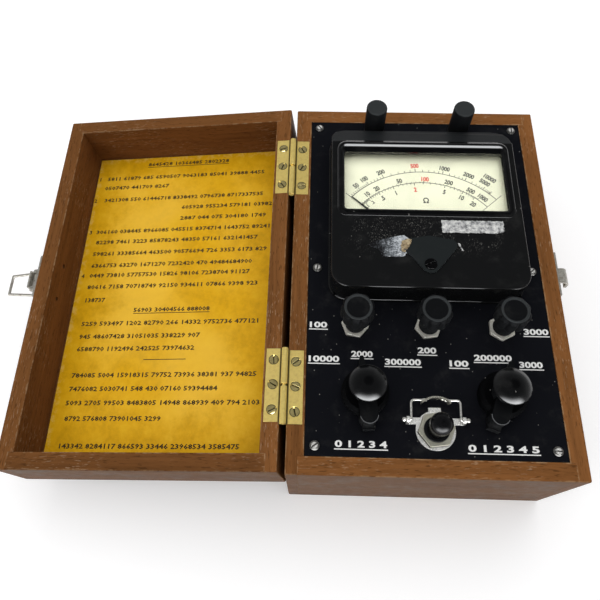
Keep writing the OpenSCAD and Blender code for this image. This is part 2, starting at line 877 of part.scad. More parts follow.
// Bridge over the magnet with the staff's upper bearing and the hairspring's post
module movement_frame() {
    post_w = 2.5;
    color(brass_colour) on_panel() translate([0, needle_y, 0]) difference() {
        union() {
            translate([-bridge_x, -bridge_w / 2, bridge_z]) cube([2 * bridge_x, bridge_w, bridge_t]);
            for (s = [-1, 1])
                translate([s * (bridge_x - post_w / 2) - post_w / 2, -bridge_w / 2, can_floor])
                    cube([post_w, bridge_w, bridge_z - can_floor + bridge_t]);
            translate([0, 0, bridge_z]) cylinder(h = boss_top - bridge_z, d = boss_d);
            translate([hair_post_x, 0, bridge_z]) cylinder(h = hair_z + hair_h - bridge_z, d = hair_post_d);
        }
        translate([0, 0, bridge_z - cut])
            cylinder(h = boss_top - bridge_z + 2 * cut, d = staff_d + 2 * fit);
    }
}

// Coil on its staff: a flat frame that swings in the magnet's bore
module moving_coil() {
    staff_foot = can_floor + magnet_floor + fit;
    color(copper_colour) on_panel() translate([0, needle_y, 0]) rotate([0, 0, needle_rest]) {
        translate([0, 0, coil_z]) difference() {
            translate([-coil_w / 2, -coil_t / 2, 0]) cube([coil_w, coil_t, coil_h]);
            translate([-coil_w / 2 + coil_t, -coil_t, coil_t])
                cube([coil_w - 2 * coil_t, 2 * coil_t, coil_h - 2 * coil_t]);
        }
        translate([0, 0, coil_z + coil_h - cut])
            cylinder(h = needle_z + needle_t - coil_z - coil_h + cut, d = staff_d);
        translate([0, 0, staff_foot]) cylinder(h = coil_z - staff_foot + cut, d = staff_d);
    }
}

// Needle with its hub and a short tail that balances it
module needle() {
    color(black_colour) on_panel() translate([0, needle_y, needle_z]) rotate(needle_rest) difference() {
        union() {
            cylinder(h = needle_t, d = hub_d);
            linear_extrude(needle_t)
                polygon([
                    [-tail_w / 2, -needle_tail], [-needle_w / 2, 0], [-tip_w / 2, needle_r],
                    [tip_w / 2, needle_r], [needle_w / 2, 0], [tail_w / 2, -needle_tail]]);
        }
        translate([0, 0, -cut]) cylinder(h = needle_t + 2 * cut, d = staff_d + 2 * fit);
    }
}

// Spiral from the staff to its post on the bridge
module hairspring() {
    per_turn = 24;
    steps = per_turn * hair_turns;
    middle = [for (i = [0:steps]) hair_in + hair_pitch * hair_turns * i / steps];
    step = 360 / per_turn;
    point = function (i, side) (middle[i] + side * hair_t / 2) * [cos(i * step), sin(i * step)];
    color(brass_colour) on_panel() translate([0, needle_y, hair_z]) linear_extrude(hair_h)
        polygon(concat([for (i = [0:steps]) point(i, 1)], [for (i = [steps:-1:0]) point(i, -1)]));
    gaps = [for (i = [0:steps - per_turn]) norm(point(i, 1) - point(i + per_turn, -1))];
    echo(least_gap_of_hairspring = min(gaps));
}

// Pick-shaped plate round the zero adjuster
module zero_plate() {
    color(black_colour) on_panel() translate([0, zero_y, meter_h]) difference() {
        linear_extrude(shield_t) shield_outline();
        translate([0, 0, -cut]) cylinder(h = shield_t + 2 * cut, d = zero_d + 2 * air);
    }
}

module shield_outline() {
    hull() {
        circle(r = shield_foot_r, $fn = 32);
        for (s = [-1, 1]) translate([s * shield_x, shield_y]) circle(r = shield_r, $fn = 32);
        translate([0, shield_back]) circle(r = shield_r, $fn = 32);
    }
}

module zero_screw() {
    color(black_colour) on_panel() translate([0, zero_y, 0]) difference() {
        union() {
            translate([0, 0, meter_h + fit]) cylinder(h = shield_t + 0.5, d = zero_d);
            translate([0, 0, face_under - 2]) cylinder(h = meter_wall + 2 + cut, d = zero_shank);
        }
        translate([0, 0, meter_h + fit + shield_t + 0.5]) slot(zero_d, 1, 1, 24);
    }
}

module stud_nuts() {
    color(brass_colour) on_panel() for (p = nut_places)
        translate([p[0], p[1], -panel_t - stud_nut_t]) nut(stud_nut_af, stud_nut_t, term_stud_d + 2 * fit);
}

// Terminals

module terminal_studs() {
    color(brass_colour) on_panel() for (s = [-1, 1]) translate([s * term_x, term_y, 0]) {
        cylinder(h = collar_h, d = term_d);
        translate([0, 0, -stud_l]) cylinder(h = stud_l + term_stud_h, d = term_stud_d);
    }
}

module terminal_head(s) {
    color(black_colour) on_panel() translate([s * term_x, term_y, 0]) difference() {
        rotate_extrude() difference() {
            translate([0, collar_h + fit]) square([term_d / 2, term_h - collar_h - fit]);
            translate([term_d / 2 - 0.8, term_h]) rotate(-45) square([2, 2]);
        }
        cylinder(h = term_stud_h + air, d = term_stud_d + 2 * fit);
    }
}

module terminal_head_left() {
    terminal_head(-1);
}

module terminal_head_right() {
    terminal_head(1);
}

// Adjusters

module adjuster_place(i) {
    on_panel() translate([i * adj_pitch, adj_y, 0]) children();
}

// Side profile of the knob: a narrow neck and a wide head with a rounded shoulder
module adjuster_profile() {
    shoulder = 2;
    r = adj_d / 2;
    translate([0, neck_z]) square([neck_d / 2, head_z - neck_z + cut]);
    translate([0, head_z]) square([r, adj_h - head_z - shoulder]);
    translate([0, head_z]) square([r - shoulder, adj_h - head_z]);
    translate([r - shoulder, adj_h - shoulder]) circle(shoulder);
}

module adjuster_knob(i) {
    color(black_colour) adjuster_place(i) difference() {
        intersection() {
            rotate_extrude() adjuster_profile();
            linear_extrude(adj_h) rotate(adj_turn) {
                circle(d = adj_d - lobe_d * 0.6);
                for (k = [1:adj_lobes]) rotate(k * 360 / adj_lobes)
                    translate([adj_d / 2 - lobe_d / 2, 0]) circle(d = lobe_d);
            }
        }
        translate([0, 0, adj_h - dish_h]) cylinder(h = cut, r = dish_r);
        cylinder(h = shaft_top + air, d = shaft_d + 2 * fit);
        cylinder(h = bush_h + air, d = bush_d + 2 * air);
    }
}

module adjuster_shaft(i) {
    color(nickel_colour) adjuster_place(i) translate([0, 0, -panel_t - pot_h + 2 + fit])
        cylinder(h = shaft_top + panel_t + pot_h - 2 - fit, d = shaft_d);
}

module adjuster_knob_low() {
    adjuster_knob(-1);
}

module adjuster_knob_mid() {
    adjuster_knob(0);
}

module adjuster_knob_high() {
    adjuster_knob(1);
}

module adjuster_shaft_low() {
    adjuster_shaft(-1);
}

module adjuster_shaft_mid() {
    adjuster_shaft(0);
}

module adjuster_shaft_high() {
    adjuster_shaft(1);
}

// Threaded bush through the panel, bored for a shaft down to a given depth
module bushed_body(depth) {
    difference() {
        union() {
            translate([0, 0, -panel_t - cut]) cylinder(h = bush_h + panel_t + cut, d = bush_d);
            children();
        }
        translate([0, 0, -depth]) cylinder(h = depth + bush_h + cut, d = shaft_d + 2 * fit);
    }
}

// Round variable resistors with three solder tags each
module adjuster_bodies() {
    tag = [3, 8, 0.8];
    color(nickel_colour) for (i = [-1:1]) adjuster_place(i) bushed_body(panel_t + pot_h - 2) {
        translate([0, 0, -panel_t - pot_h]) cylinder(h = pot_h, d = pot_d);
        for (a = [-30, 0, 30]) rotate(a)
            translate([-tag[0] / 2, -pot_d / 2 - tag[1] + 2, -panel_t - pot_h / 2]) cube(tag);
    }
}

module control_nuts() {
    color(chrome_colour) on_panel() for (i = [0:len(control_places) - 1])
        translate([control_places[i][0], control_places[i][1], 0]) rotate(19 * i - 10)
            nut(nut_af, nut_t, bush_d + 2 * fit);
}

// Switches

module switch_place(s) {
    on_panel() translate([s * switch_x, switch_y, 0]) children();
}

// Skirt and domed cap, with a thumb bar to the front and a pointer to the back
module switch_knob() {
    dome_r = (pow(dome_d / 2, 2) + pow(dome_h, 2)) / (2 * dome_h);
    cap_z = switch_h - dome_h;
    difference() {
        union() {
            rotate_extrude() difference() {
                translate([0, skirt_gap]) square([skirt_d / 2, skirt_h - skirt_gap]);
                translate([skirt_d / 2 - 2, skirt_h]) rotate(-45) square([4, 4]);
            }
            cylinder(h = cap_z, d = dome_d * 0.72);
            translate([0, 0, cap_z - 1.6]) cylinder(h = 1.6 + fit, d1 = dome_d - 3, d2 = dome_d);
            intersection() {
                translate([0, 0, switch_h - dome_r]) sphere(dome_r, $fn = 96);
                translate([0, 0, cap_z]) cylinder(h = dome_h + cut, d = dome_d);
            }
            translate([0, 0, skirt_gap]) linear_extrude(thumb_h - skirt_gap) {
                translate([-thumb_w / 2, -thumb_reach + thumb_w / 2])
                    square([thumb_w, thumb_reach - thumb_w / 2]);
                translate([0, -thumb_reach + thumb_w / 2]) circle(d = thumb_w);
            }
            translate([-toe_w / 2, -toe_reach, skirt_gap]) cube([toe_w, toe_reach, toe_h]);
            translate([0, 0, skirt_gap]) linear_extrude(tip_h - skirt_gap)
                polygon([[-thumb_w / 2, 0], [-1, tip_reach], [1, tip_reach], [thumb_w / 2, 0]]);
        }
        cylinder(h = switch_h - dome_h, d = shaft_d + 2 * fit);
        cylinder(h = bush_h + air, d = nut_af / cos(30) + 2 * air);
    }
}

module function_knob() {
    color(black_colour) switch_place(-1) rotate(function_turn) switch_knob();
}

module range_knob() {
    color(black_colour) switch_place(1) rotate(range_turn) switch_knob();
}

// Shaft with the rotor disc that carries the wiping contacts
module switch_shaft() {
    top = switch_h - dome_h - air;
    translate([0, 0, wafer_z - 1]) cylinder(h = top - wafer_z + 1, d = shaft_d);
    translate([0, 0, rotor_z]) cylinder(h = rotor_t, d = rotor_d);
    translate([-2, 0, rotor_z]) cube([4, rotor_d / 2 + 1.5, rotor_t]);
}

module function_shaft() {
    color(nickel_colour) switch_place(-1) rotate(function_turn) switch_shaft();
}

module range_shaft() {
    color(nickel_colour) switch_place(1) rotate(range_turn) switch_shaft();
}

// Detent housing under the panel, and a contact wafer held below it on two spacers
module switch_bodies() {
    depth = panel_t + detent_h + wafer_gap + 2 * wafer_t;
    color(tan_colour) for (s = [-1, 1]) switch_place(s) bushed_body(depth) {
        translate([0, 0, -panel_t - detent_h]) cylinder(h = detent_h, d = detent_d);
        translate([0, 0, -panel_t - wafer_t]) cylinder(h = wafer_t, d = wafer_d);
        translate([0, 0, wafer_z]) cylinder(h = wafer_t, d = wafer_d);
        for (t = [-1, 1]) translate([t * spacer_r, 0, wafer_z])
            cylinder(h = -wafer_z - panel_t, d = spacer_d);
    }
}

// Push button and its bail

module button_place() {
    on_panel() translate([button_x, button_y, 0]) children();
}

// Stem with a thin flange and a wider domed head
module button_cap() {
    dome_r = (pow(head_d / 2, 2) + pow(head_dome, 2)) / (2 * head_dome);
    color(black_colour) button_place() {
        translate([0, 0, button_foot]) cylinder(h = head_low + cut - button_foot, d = button_d);
        translate([0, 0, flange_low]) cylinder(h = flange_h, d = button_d + flange_h);
        translate([0, 0, head_low]) cylinder(h = button_h - head_dome - head_low, d = head_d);
        intersection() {
            translate([0, 0, button_h - dome_r]) sphere(dome_r, $fn = 96);
            translate([0, 0, head_low + cut]) cylinder(h = button_h, d = head_d);
        }
    }
}

// A round tube along a helix, one ring of corners at a time
module button_spring() {
    sides = 6;
    per_turn = 8;
    rings = per_turn * spring_turns;
    rise = spring_h - spring_wire - 2 * air;
    centre = [for (i = [0:rings]) let (a = 360 * i / per_turn)
        [spring_r * cos(a), spring_r * sin(a), rise * i / rings]];
    corner = function (i, k) let (a = 360 * i / per_turn, b = 360 * k / sides, w = spring_wire / 2)
        centre[i] + [w * cos(b) * cos(a), w * cos(b) * sin(a), w * sin(b)];
    points = [for (i = [0:rings], k = [0:sides - 1]) corner(i, k)];
    at = function (i, k) i * sides + k % sides;
    walls = [for (i = [0:rings - 1], k = [0:sides - 1], t = [0, 1]) t == 0
        ? [at(i, k), at(i + 1, k), at(i + 1, k + 1)]
        : [at(i, k), at(i + 1, k + 1), at(i, k + 1)]];
    caps = [
        for (k = [1:sides - 2]) [at(0, 0), at(0, k), at(0, k + 1)],
        for (k = [1:sides - 2]) [at(rings, 0), at(rings, k + 1), at(rings, k)]];
    gaps = [for (i = [0:rings], j = [0:rings]) if (j - i > per_turn / 2) norm(centre[i] - centre[j])];
    color(nickel_colour) button_place() translate([0, 0, button_floor + spring_wire / 2 + air])
        polyhedron(points, concat(walls, caps));
    echo(least_gap_of_spring = min(gaps) - spring_wire);
}

// Threaded sleeve with a shoulder below the panel and a closed foot with two tags
module button_body() {
    shoulder = 7;
    color(black_colour) button_place() {
        difference() {
            union() {
                translate([0, 0, button_floor - 2])
                    cylinder(h = button_bush_top - button_floor + 2, r = bush_r);
                translate([0, 0, -panel_t - shoulder]) cylinder(h = shoulder, r = bush_r + 2.4);
            }
            translate([0, 0, button_floor])
                cylinder(h = button_bush_top - button_floor + cut, d = button_d + 2 * fit);
        }
        for (s = [-1, 1]) translate([s * 4 - 0.4, -1.5, button_floor - 8]) cube([0.8, 3, 7]);
    }
}

module button_nut() {
    color(chrome_colour) button_place() translate([0, 0, guard_t]) rotate(8)
        nut(button_nut_af, button_nut_t, 2 * bush_r + 2 * fit);
}

// Washer with two ears whose rolled ends carry the bail
module bail_plate() {
    color(chrome_colour) button_place() {
        difference() {
            union() {
                cylinder(h = guard_t, r = guard_r);
                translate([-ear_x, ear_y - ear_r, 0]) cube([2 * ear_x, 2 * ear_r, guard_t]);
                translate([-tab_w / 2, 0, 0]) cube([tab_w, tab_reach, guard_t]);
            }
            translate([0, 0, -cut]) cylinder(h = guard_t + 2 * cut, r = bush_r + hole_play);
        }
        for (s = [-1, 1]) translate([s * ear_x - ear_t / 2, ear_y, 0]) difference() {
            union() {
                translate([0, -ear_r, 0]) cube([ear_t, 2 * ear_r, ear_z]);
                translate([0, 0, ear_z]) rotate([0, 90, 0]) cylinder(h = ear_t, r = ear_r);
            }
            translate([-cut, 0, ear_z]) rotate([0, 90, 0])
                cylinder(h = ear_t + 2 * cut, d = bail_d + 2 * fit);
        }
    }
}

// Bail frame: origin on its pivots, arms along y
module bail_pose() {
    button_place() translate([0, ear_y, ear_z]) rotate([bail_rest, 0, 0]) children();
}

module bail() {
    stub = ear_x + ear_t / 2 + ball_d / 2;
    color(chrome_colour) bail_pose() {
        wire_path([
            [-stub, 0, 0], [-bail_x, 0, 0], [-bail_x, bail_arm, 0],
            [bail_x, bail_arm, 0], [bail_x, 0, 0], [stub, 0, 0]], bail_d);
        for (s = [-1, 1]) translate([s * stub, 0, 0]) sphere(d = ball_d);
    }
}

// Curved plate on the bail, hollow towards the button
module bail_saddle() {
    color(chrome_colour) bail_pose() difference() {
        intersection() {
            translate([0, saddle_top - saddle_r - saddle_t / 2, -saddle_h / 2]) difference() {
                cylinder(h = saddle_h, r = saddle_r + saddle_t / 2, $fn = 96);
                translate([0, 0, -cut])
                    cylinder(h = saddle_h + 2 * cut, r = saddle_r - saddle_t / 2, $fn = 96);
            }
            translate([-saddle_x, 0, -saddle_h]) cube([2 * saddle_x, 2 * saddle_top, 2 * saddle_h]);
        }
        translate([-bail_x, bail_arm, 0]) rotate([0, 90, 0]) cylinder(h = 2 * bail_x, d = bail_d + 2 * fit);
    }
}

// Lid

// The lid's boards stand on its top board, rims up, turned over from the closed lid
module lid_boards() {
    lid_pose() translate([-hinge_off - case_w / 2, 0, -lid_h]) children();
}

module lid_sides() {
    color(wood_colour) difference() {
        lid_boards() for (turn = [0, 180]) rotate(turn) translate([-case_w / 2, 0, 0]) side_board(lid_h);
        lid_pose() translate([-hinge_off, 0, 0]) rotate([0, 0, 180]) hinge_places() hinge_seat();
        catch_pose() for (s = [-1, 1]) translate([-wall - cut, s * catch_screw_y, catch_v + catch_h / 2])
            rotate([0, 90, 0]) cylinder(h = wall + 2 * cut, d = screw_d + 2 * hole_play);
    }
}

module lid_ends() {
    color(wood_colour) lid_boards() for (turn = [0, 180])
        rotate(turn) translate([0, -case_l / 2, 0]) end_board(lid_h);
}

module lid_board() {
    color(tan_colour) lid_boards() translate([-sheet_w / 2, -sheet_l / 2, 0])
        cube([sheet_w, sheet_l, board_t]);
}

module instruction_card() {
    w = inner_w - 2 * card_margin;
    l = inner_l - 2 * card_margin;
    color(card_colour) lid_boards() translate([-w / 2, -l / 2, board_t]) cube([w, l, card_t]);
}

module lid_hinge_leaves() {
    color(brass_colour) lid_pose() translate([-hinge_off, 0, 0]) rotate([0, 0, 180])
        hinge_places() hinge_leaf();
}

module lid_hinge_screws() {
    color(brass_colour) lid_pose() translate([-hinge_off, 0, 0]) rotate([0, 0, 180]) hinge_screws();
}

base_left();
base_right();
base_ends();
base_bottom();
inner_battens();
panel();
panel_screws();
base_hinge_leaves();
hinge_pins();
base_hinge_screws();
keeper_plate();
keeper_screws();
cell_hatch();
hatch_screw();
cell_unit();
meter_case();
meter_back();
meter_glass();
dial_plate();
meter_magnet();
movement_frame();
moving_coil();
needle();
hairspring();
zero_plate();
zero_screw();
stud_nuts();
terminal_studs();
terminal_head_left();
terminal_head_right();
adjuster_knob_low();
adjuster_knob_mid();
adjuster_knob_high();
adjuster_shaft_low();
adjuster_shaft_mid();
adjuster_shaft_high();
adjuster_bodies();
control_nuts();
function_knob();
range_knob();
function_shaft();
range_shaft();
switch_bodies();
button_cap();
button_spring();
button_body();
button_nut();
bail_plate();
bail();
bail_saddle();
lid_sides();
lid_ends();
lid_board();
instruction_card();
lid_hinge_leaves();
lid_hinge_screws();
catch_plate();
catch_lever();
catch_loop();
catch_screws();
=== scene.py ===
"""Looks of a multi-range ohmmeter in a hinged wooden case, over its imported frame."""

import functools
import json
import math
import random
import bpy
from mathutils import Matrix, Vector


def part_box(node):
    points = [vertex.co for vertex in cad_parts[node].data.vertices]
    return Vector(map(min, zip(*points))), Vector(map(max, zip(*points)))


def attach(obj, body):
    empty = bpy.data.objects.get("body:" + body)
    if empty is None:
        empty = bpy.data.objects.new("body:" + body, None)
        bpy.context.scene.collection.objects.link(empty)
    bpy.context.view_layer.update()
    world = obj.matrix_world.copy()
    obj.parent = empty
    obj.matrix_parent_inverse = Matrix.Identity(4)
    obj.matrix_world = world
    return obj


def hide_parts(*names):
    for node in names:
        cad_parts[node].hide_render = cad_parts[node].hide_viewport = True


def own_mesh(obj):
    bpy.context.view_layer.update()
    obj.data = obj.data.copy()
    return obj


bl_info = {
    "name": "Ohmmeter in a Wooden Case",
    "version": (1, 0, 0),
    "blender": (4, 5, 0),
    "location": "View3D > Sidebar > Ohmmeter",
    "description": "Builds the visible pieces of a multi-range ohmmeter",
    "category": "Object",
}

import bmesh
import bpy
from mathutils import Matrix, Vector

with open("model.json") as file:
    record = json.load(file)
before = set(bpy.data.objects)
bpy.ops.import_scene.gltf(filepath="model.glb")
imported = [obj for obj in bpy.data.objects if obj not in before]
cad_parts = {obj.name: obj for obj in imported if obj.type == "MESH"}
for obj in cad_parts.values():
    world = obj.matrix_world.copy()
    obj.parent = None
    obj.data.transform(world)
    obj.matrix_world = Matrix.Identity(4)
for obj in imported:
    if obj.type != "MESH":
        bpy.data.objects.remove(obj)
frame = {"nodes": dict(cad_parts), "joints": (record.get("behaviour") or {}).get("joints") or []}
NODES = frame["nodes"]
MM = 0.001
UP = Vector((0.0, 0.0, 1.0))
BLACK = "bakelite"
# Thickness of the print on the card, the panel and the dial
CARD_INK = 0.04 * MM
PANEL_INK = 0.05 * MM
DIAL_INK = 0.03 * MM


class OhmmeterSettings(bpy.types.PropertyGroup):
    """Sizes and colours of the pieces."""

    wood_colour: bpy.props.FloatVectorProperty(
        name="Wood", description="Middle tone of the case's wood",
        subtype="COLOR", size=3, min=0.0, max=1.0, default=(0.19, 0.077, 0.024))
    card_colour: bpy.props.FloatVectorProperty(
        name="Card", description="Middle tone of the card in the lid",
        subtype="COLOR", size=3, min=0.0, max=1.0, default=(0.67, 0.355, 0.004))
    panel_colour: bpy.props.FloatVectorProperty(
        name="Panel", description="Colour of the control panel",
        subtype="COLOR", size=3, min=0.0, max=1.0, default=(0.006, 0.0064, 0.0082))
    dial_colour: bpy.props.FloatVectorProperty(
        name="Dial", description="Colour of the dial's enamel",
        subtype="COLOR", size=3, min=0.0, max=1.0, default=(0.765, 0.757, 0.57))
    wear: bpy.props.FloatProperty(
        name="Wear", description="How far the wood's edges are rubbed",
        subtype="FACTOR", min=0.0, max=1.0, default=0.75)
    dust: bpy.props.FloatProperty(
        name="Dust", description="Share of the black pieces that holds dust",
        subtype="FACTOR", min=0.0, max=1.0, default=0.5)
    corner: bpy.props.FloatProperty(
        name="Corner", description="Rounding of the case's outer edges",
        subtype="DISTANCE", unit="LENGTH", min=0.0002, max=0.0015, default=0.0009)
    bezel_rise: bpy.props.FloatProperty(
        name="Bezel", description="Height of the rim round the window",
        subtype="DISTANCE", unit="LENGTH", min=0.001, max=0.0022, default=0.0021)
    numeral: bpy.props.FloatProperty(
        name="Numerals", description="Height of the panel's numerals",
        subtype="DISTANCE", unit="LENGTH", min=0.002, max=0.005, default=0.0034)


def settings():
    """Returns the scene's sizes and colours."""
    return bpy.context.scene.ohmmeter


def mm(*values):
    """Returns a vector given in millimetres."""
    return Vector(values) * MM


def shift(x, y, z):
    """Returns a move without a turn."""
    return Matrix.Translation((x, y, z))


def joint_place(name):
    """Returns where a joint's axis lies."""
    return Vector(next(joint["pos_m"] for joint in frame["joints"] if joint["name"] == name))


class Value:
    """A number in a node tree, for sums and products."""

    def __init__(self, tree, socket):
        self.tree = tree
        self.socket = socket

    def __add__(self, other):
        return self.tree.math("ADD", self, other)

    def __sub__(self, other):
        return self.tree.math("SUBTRACT", self, other)

    def __rsub__(self, other):
        return self.tree.math("SUBTRACT", other, self)

    def __mul__(self, other):
        return self.tree.math("MULTIPLY", self, other)

    def __truediv__(self, other):
        return self.tree.math("DIVIDE", self, other)

    def __abs__(self):
        return self.tree.math("ABSOLUTE", self)


class Tree:
    """Adds nodes to a node tree and links them."""

    def __init__(self, tree):
        self.tree = tree

    def put(self, socket, value):
        """Links a socket, or sets its plain value."""
        if value is None:
            return
        if isinstance(value, Value):
            value = value.socket
        if isinstance(value, bpy.types.Node):
            value = value.outputs[0]
        if isinstance(value, bpy.types.NodeSocket):
            self.tree.links.new(value, socket)
        elif socket.type == "RGBA" and len(value) == 3:
            socket.default_value = (*value, 1.0)
        else:
            socket.default_value = value

    def add(self, kind, *values, **named):
        """Adds a node with its inputs in order, and its properties and inputs by name."""
        node = self.tree.nodes.new(kind)
        inputs = {}
        for name, value in named.items():
            if hasattr(node, name):
                setattr(node, name, value)
            else:
                inputs[name.replace("_", " ")] = value
        for name, value in inputs.items():
            self.put(node.inputs[name], value)
        for socket, value in zip(node.inputs, values):
            self.put(socket, value)
        return node

    def values(self, node):
        """Returns a node's outputs as numbers."""
        return [Value(self, socket) for socket in node.outputs]

    def math(self, operation, *values):
        """Adds a number's operation."""
        return self.values(self.add("ShaderNodeMath", *values, operation=operation))[0]

    def vector(self, operation, *values):
        """Adds a vector's operation."""
        return self.add("ShaderNodeVectorMath", *values, operation=operation).outputs[0]

    def parts(self, vector):
        """Returns a vector's three parts."""
        return self.values(self.add("ShaderNodeSeparateXYZ", vector))

    def step(self, value, low, high):
        """Rises smoothly from 0 at low to 1 at high."""
        node = self.add("ShaderNodeMapRange", value, low, high, 0.0, 1.0, interpolation_type="SMOOTHSTEP")
        return self.values(node)[0]

    def mix(self, factor, first, second):
        """Mixes two colours."""
        node = self.add("ShaderNodeMix", data_type="RGBA")
        for index, value in ((0, factor), (6, first), (7, second)):
            self.put(node.inputs[index], value)
        return node.outputs[2]

    def noise(self, vector, scale, detail=2.0, roughness=0.5):
        """Adds a cloudy pattern from 0 to 1; three scales stretch it."""
        if isinstance(scale, tuple):
            vector = self.vector("MULTIPLY", vector, scale)
            scale = 1.0
        node = self.add("ShaderNodeTexNoise", Vector=vector, Scale=scale, Detail=detail, Roughness=roughness)
        return self.values(node)[0]

    def ramp(self, value, *stops):
        """Colours a value by stops of place and colour."""
        node = self.add("ShaderNodeValToRGB", value)
        points = node.color_ramp.elements
        while len(points) < len(stops):
            points.new(0.5)
        for point, (place, colour) in zip(points, stops):
            point.position = place
            point.color = (*colour, 1.0)
        return node.outputs[0]

    def bump(self, height, strength, depth):
        """Turns a height into a normal."""
        return self.add("ShaderNodeBump", Strength=strength, Distance=depth, Height=height).outputs[0]

    def place(self):
        """Returns the place on the object, in metres."""
        return self.add("ShaderNodeTexCoord").outputs["Object"]

    def facing(self):
        """Returns the three parts of the surface's direction."""
        return self.parts(self.add("ShaderNodeTexCoord").outputs["Normal"])

    def carried(self, name, output="Vector"):
        """Returns a value that the mesh carries."""
        return self.add("ShaderNodeAttribute", attribute_name=name).outputs[output]

    def shared(self, maker, **inputs):
        """Adds a shared shader group; returns its outputs."""
        return self.values(self.add("ShaderNodeGroup", node_tree=maker(), **inputs))

    def surface(self, **values):
        """Sets or links the main shader's inputs."""
        shader = self.tree.nodes["Principled BSDF"]
        for name, value in values.items():
            self.put(shader.inputs[name.replace("_", " ")], value)
        return shader


SOCKETS = {
    "number": "NodeSocketFloat", "vector": "NodeSocketVector", "geometry": "NodeSocketGeometry",
    "object": "NodeSocketObject", "material": "NodeSocketMaterial",
}


def new_group(kind, name, inputs, outputs):
    """Starts a node group; returns it with its tree, its inputs and its outputs."""
    made = bpy.data.node_groups.new(name, kind)
    for side, sockets in (("INPUT", inputs), ("OUTPUT", outputs)):
        for label, socket in sockets.items():
            made.interface.new_socket(label, in_out=side, socket_type=SOCKETS[socket])
    tree = Tree(made)
    return made, tree, tree.add("NodeGroupInput").outputs, tree.add("NodeGroupOutput").inputs


@functools.cache
def grain_group():
    """Shader group: the streaks, ribbon and pores of a board, with its length along x."""
    made, t, given, out = new_group(
        "ShaderNodeTree", "Wood Grain", {"At": "vector", "Seed": "number"},
        {"Streak": "number", "Ribbon": "number", "Pores": "number"})
    away = t.vector("MULTIPLY", t.add("ShaderNodeCombineXYZ", *[given["Seed"]] * 3), (3.1, 1.7, 2.3))
    at = t.vector("ADD", given["At"], away)
    sway = t.noise(at, (9.0, 25.0, 25.0))
    bent = t.vector("ADD", at, t.vector("SCALE", (0.0, 0.02, 0.02), None, None, sway))
    t.put(out["Streak"], t.noise(bent, (14.0, 420.0, 420.0), 5.0, 0.65))
    t.put(out["Ribbon"], t.noise(bent, (4.0, 75.0, 75.0)))
    t.put(out["Pores"], t.step(t.noise(at, (190.0, 1500.0, 1500.0), 1.0), 0.6, 0.7))
    return made


@functools.cache
def edge_group():
    """Shader group: distance from a board's nearest edge, from its place in the board and half size."""
    made, t, given, out = new_group(
        "ShaderNodeTree", "Edge Distance", {"At": "vector", "Half": "vector"}, {"Distance": "number"})
    a, b, c = t.parts(t.vector("SUBTRACT", given["Half"], t.vector("ABSOLUTE", given["At"])))
    middle = t.math("MINIMUM", t.math("MAXIMUM", a, b), c)
    t.put(out["Distance"], t.math("MAXIMUM", t.math("MINIMUM", a, b), middle))
    return made


@functools.cache
def speck_group():
    """Shader group: scattered specks, of which a share of the cells holds one."""
    made, t, given, out = new_group(
        "ShaderNodeTree", "Specks", {"At": "vector", "Scale": "number", "Share": "number"},
        {"Mask": "number"})
    cells = t.add("ShaderNodeTexVoronoi", Vector=given["At"], Scale=given["Scale"])
    held = t.math("LESS_THAN", t.parts(cells.outputs["Color"])[0], given["Share"])
    t.put(out["Mask"], held * t.step(cells.outputs["Distance"], 0.24, 0.1))
    return made


def new_material(name):
    """Starts a material; returns it with its tree."""
    made = bpy.data.materials.new(name)
    made.use_nodes = True
    return made, Tree(made.node_tree)


def chosen(colour):
    """Returns a colour, or the setting that a name stands for."""
    return tuple(getattr(settings(), colour)) if isinstance(colour, str) else colour


def tinted(colour, factor):
    """Returns a colour made lighter or darker."""
    return tuple(min(1.0, c * factor) for c in colour)


def wood(name, colour, dull):
    """Makes a wood with pores, rubbed edges, pale nicks, a painted grey sheen on its ends and painted shade
    below the rim.
    """
    made, t = new_material(name)
    colour = chosen(colour)
    wear = settings().wear
    at = t.carried("board_at")
    seed = t.carried("board_seed", "Fac")
    streak, ribbon, pores = t.shared(grain_group, At=at, Seed=seed)
    distance, = t.shared(edge_group, At=at, Half=t.carried("board_half"))
    board = t.math("FRACT", t.math("MULTIPLY", seed, 7.13)) * 0.1 - 0.05
    tone = streak * 0.55 + ribbon * 0.45 + board
    base = t.ramp(tone, (0.3, tinted(colour, 0.62)), (0.48, colour), (0.68, tinted(colour, 1.3)))
    base = t.mix(pores * 0.5, base, tinted(colour, 0.2))
    rough = t.noise(at, 160.0, 4.0, 0.65)
    worn = (1.0 - t.step(distance, 0.0, rough * (0.0022 * wear))) * t.step(rough, 0.42, 0.6)
    base = t.mix(worn * 0.7, base, (0.4, 0.26, 0.14))
    patch = t.step(t.noise(at, 22.0, 3.0), 0.44, 0.64) * wear
    nicks = t.step(t.noise(at, (240.0, 1500.0, 1500.0)), 0.6, 0.68) * patch
    base = t.mix(nicks * 0.6, base, (0.5, 0.36, 0.23))
    # Where the end faces begin along y and the base's rim along z, in metres
    end_face, rim = (0.119, 0.121), (0.0842, 0.0857)
    _, y, z = t.parts(t.place())
    # Painted reflection: the end faces take a mottled grey veil that stands for the white floor's sheen in
    # the varnish.
    ends = t.step(abs(t.facing()[1]), 0.8, 0.95) * t.step(abs(y), *end_face)
    sheen_mottle = t.step(t.noise(at, 60.0, 4.0, 0.7), 0.46, 0.7) * 0.4 + 0.22
    base = t.mix(ends * sheen_mottle, base, (0.21, 0.185, 0.16))
    # Painted shade: all wood below the base's rim top is darkened, so that only the rim tops keep the full
    # tone.
    shade_below_rim = 1.0 - t.step(z, *rim)
    base = t.mix(shade_below_rim * 0.3, base, tinted(colour, 0.1))
    t.surface(Base_Color=base, Roughness=worn * 0.3 + rough * 0.25 + dull,
              Normal=t.bump(streak * 0.4 - pores, 0.35, 0.00012), Specular_IOR_Level=0.012)
    return made


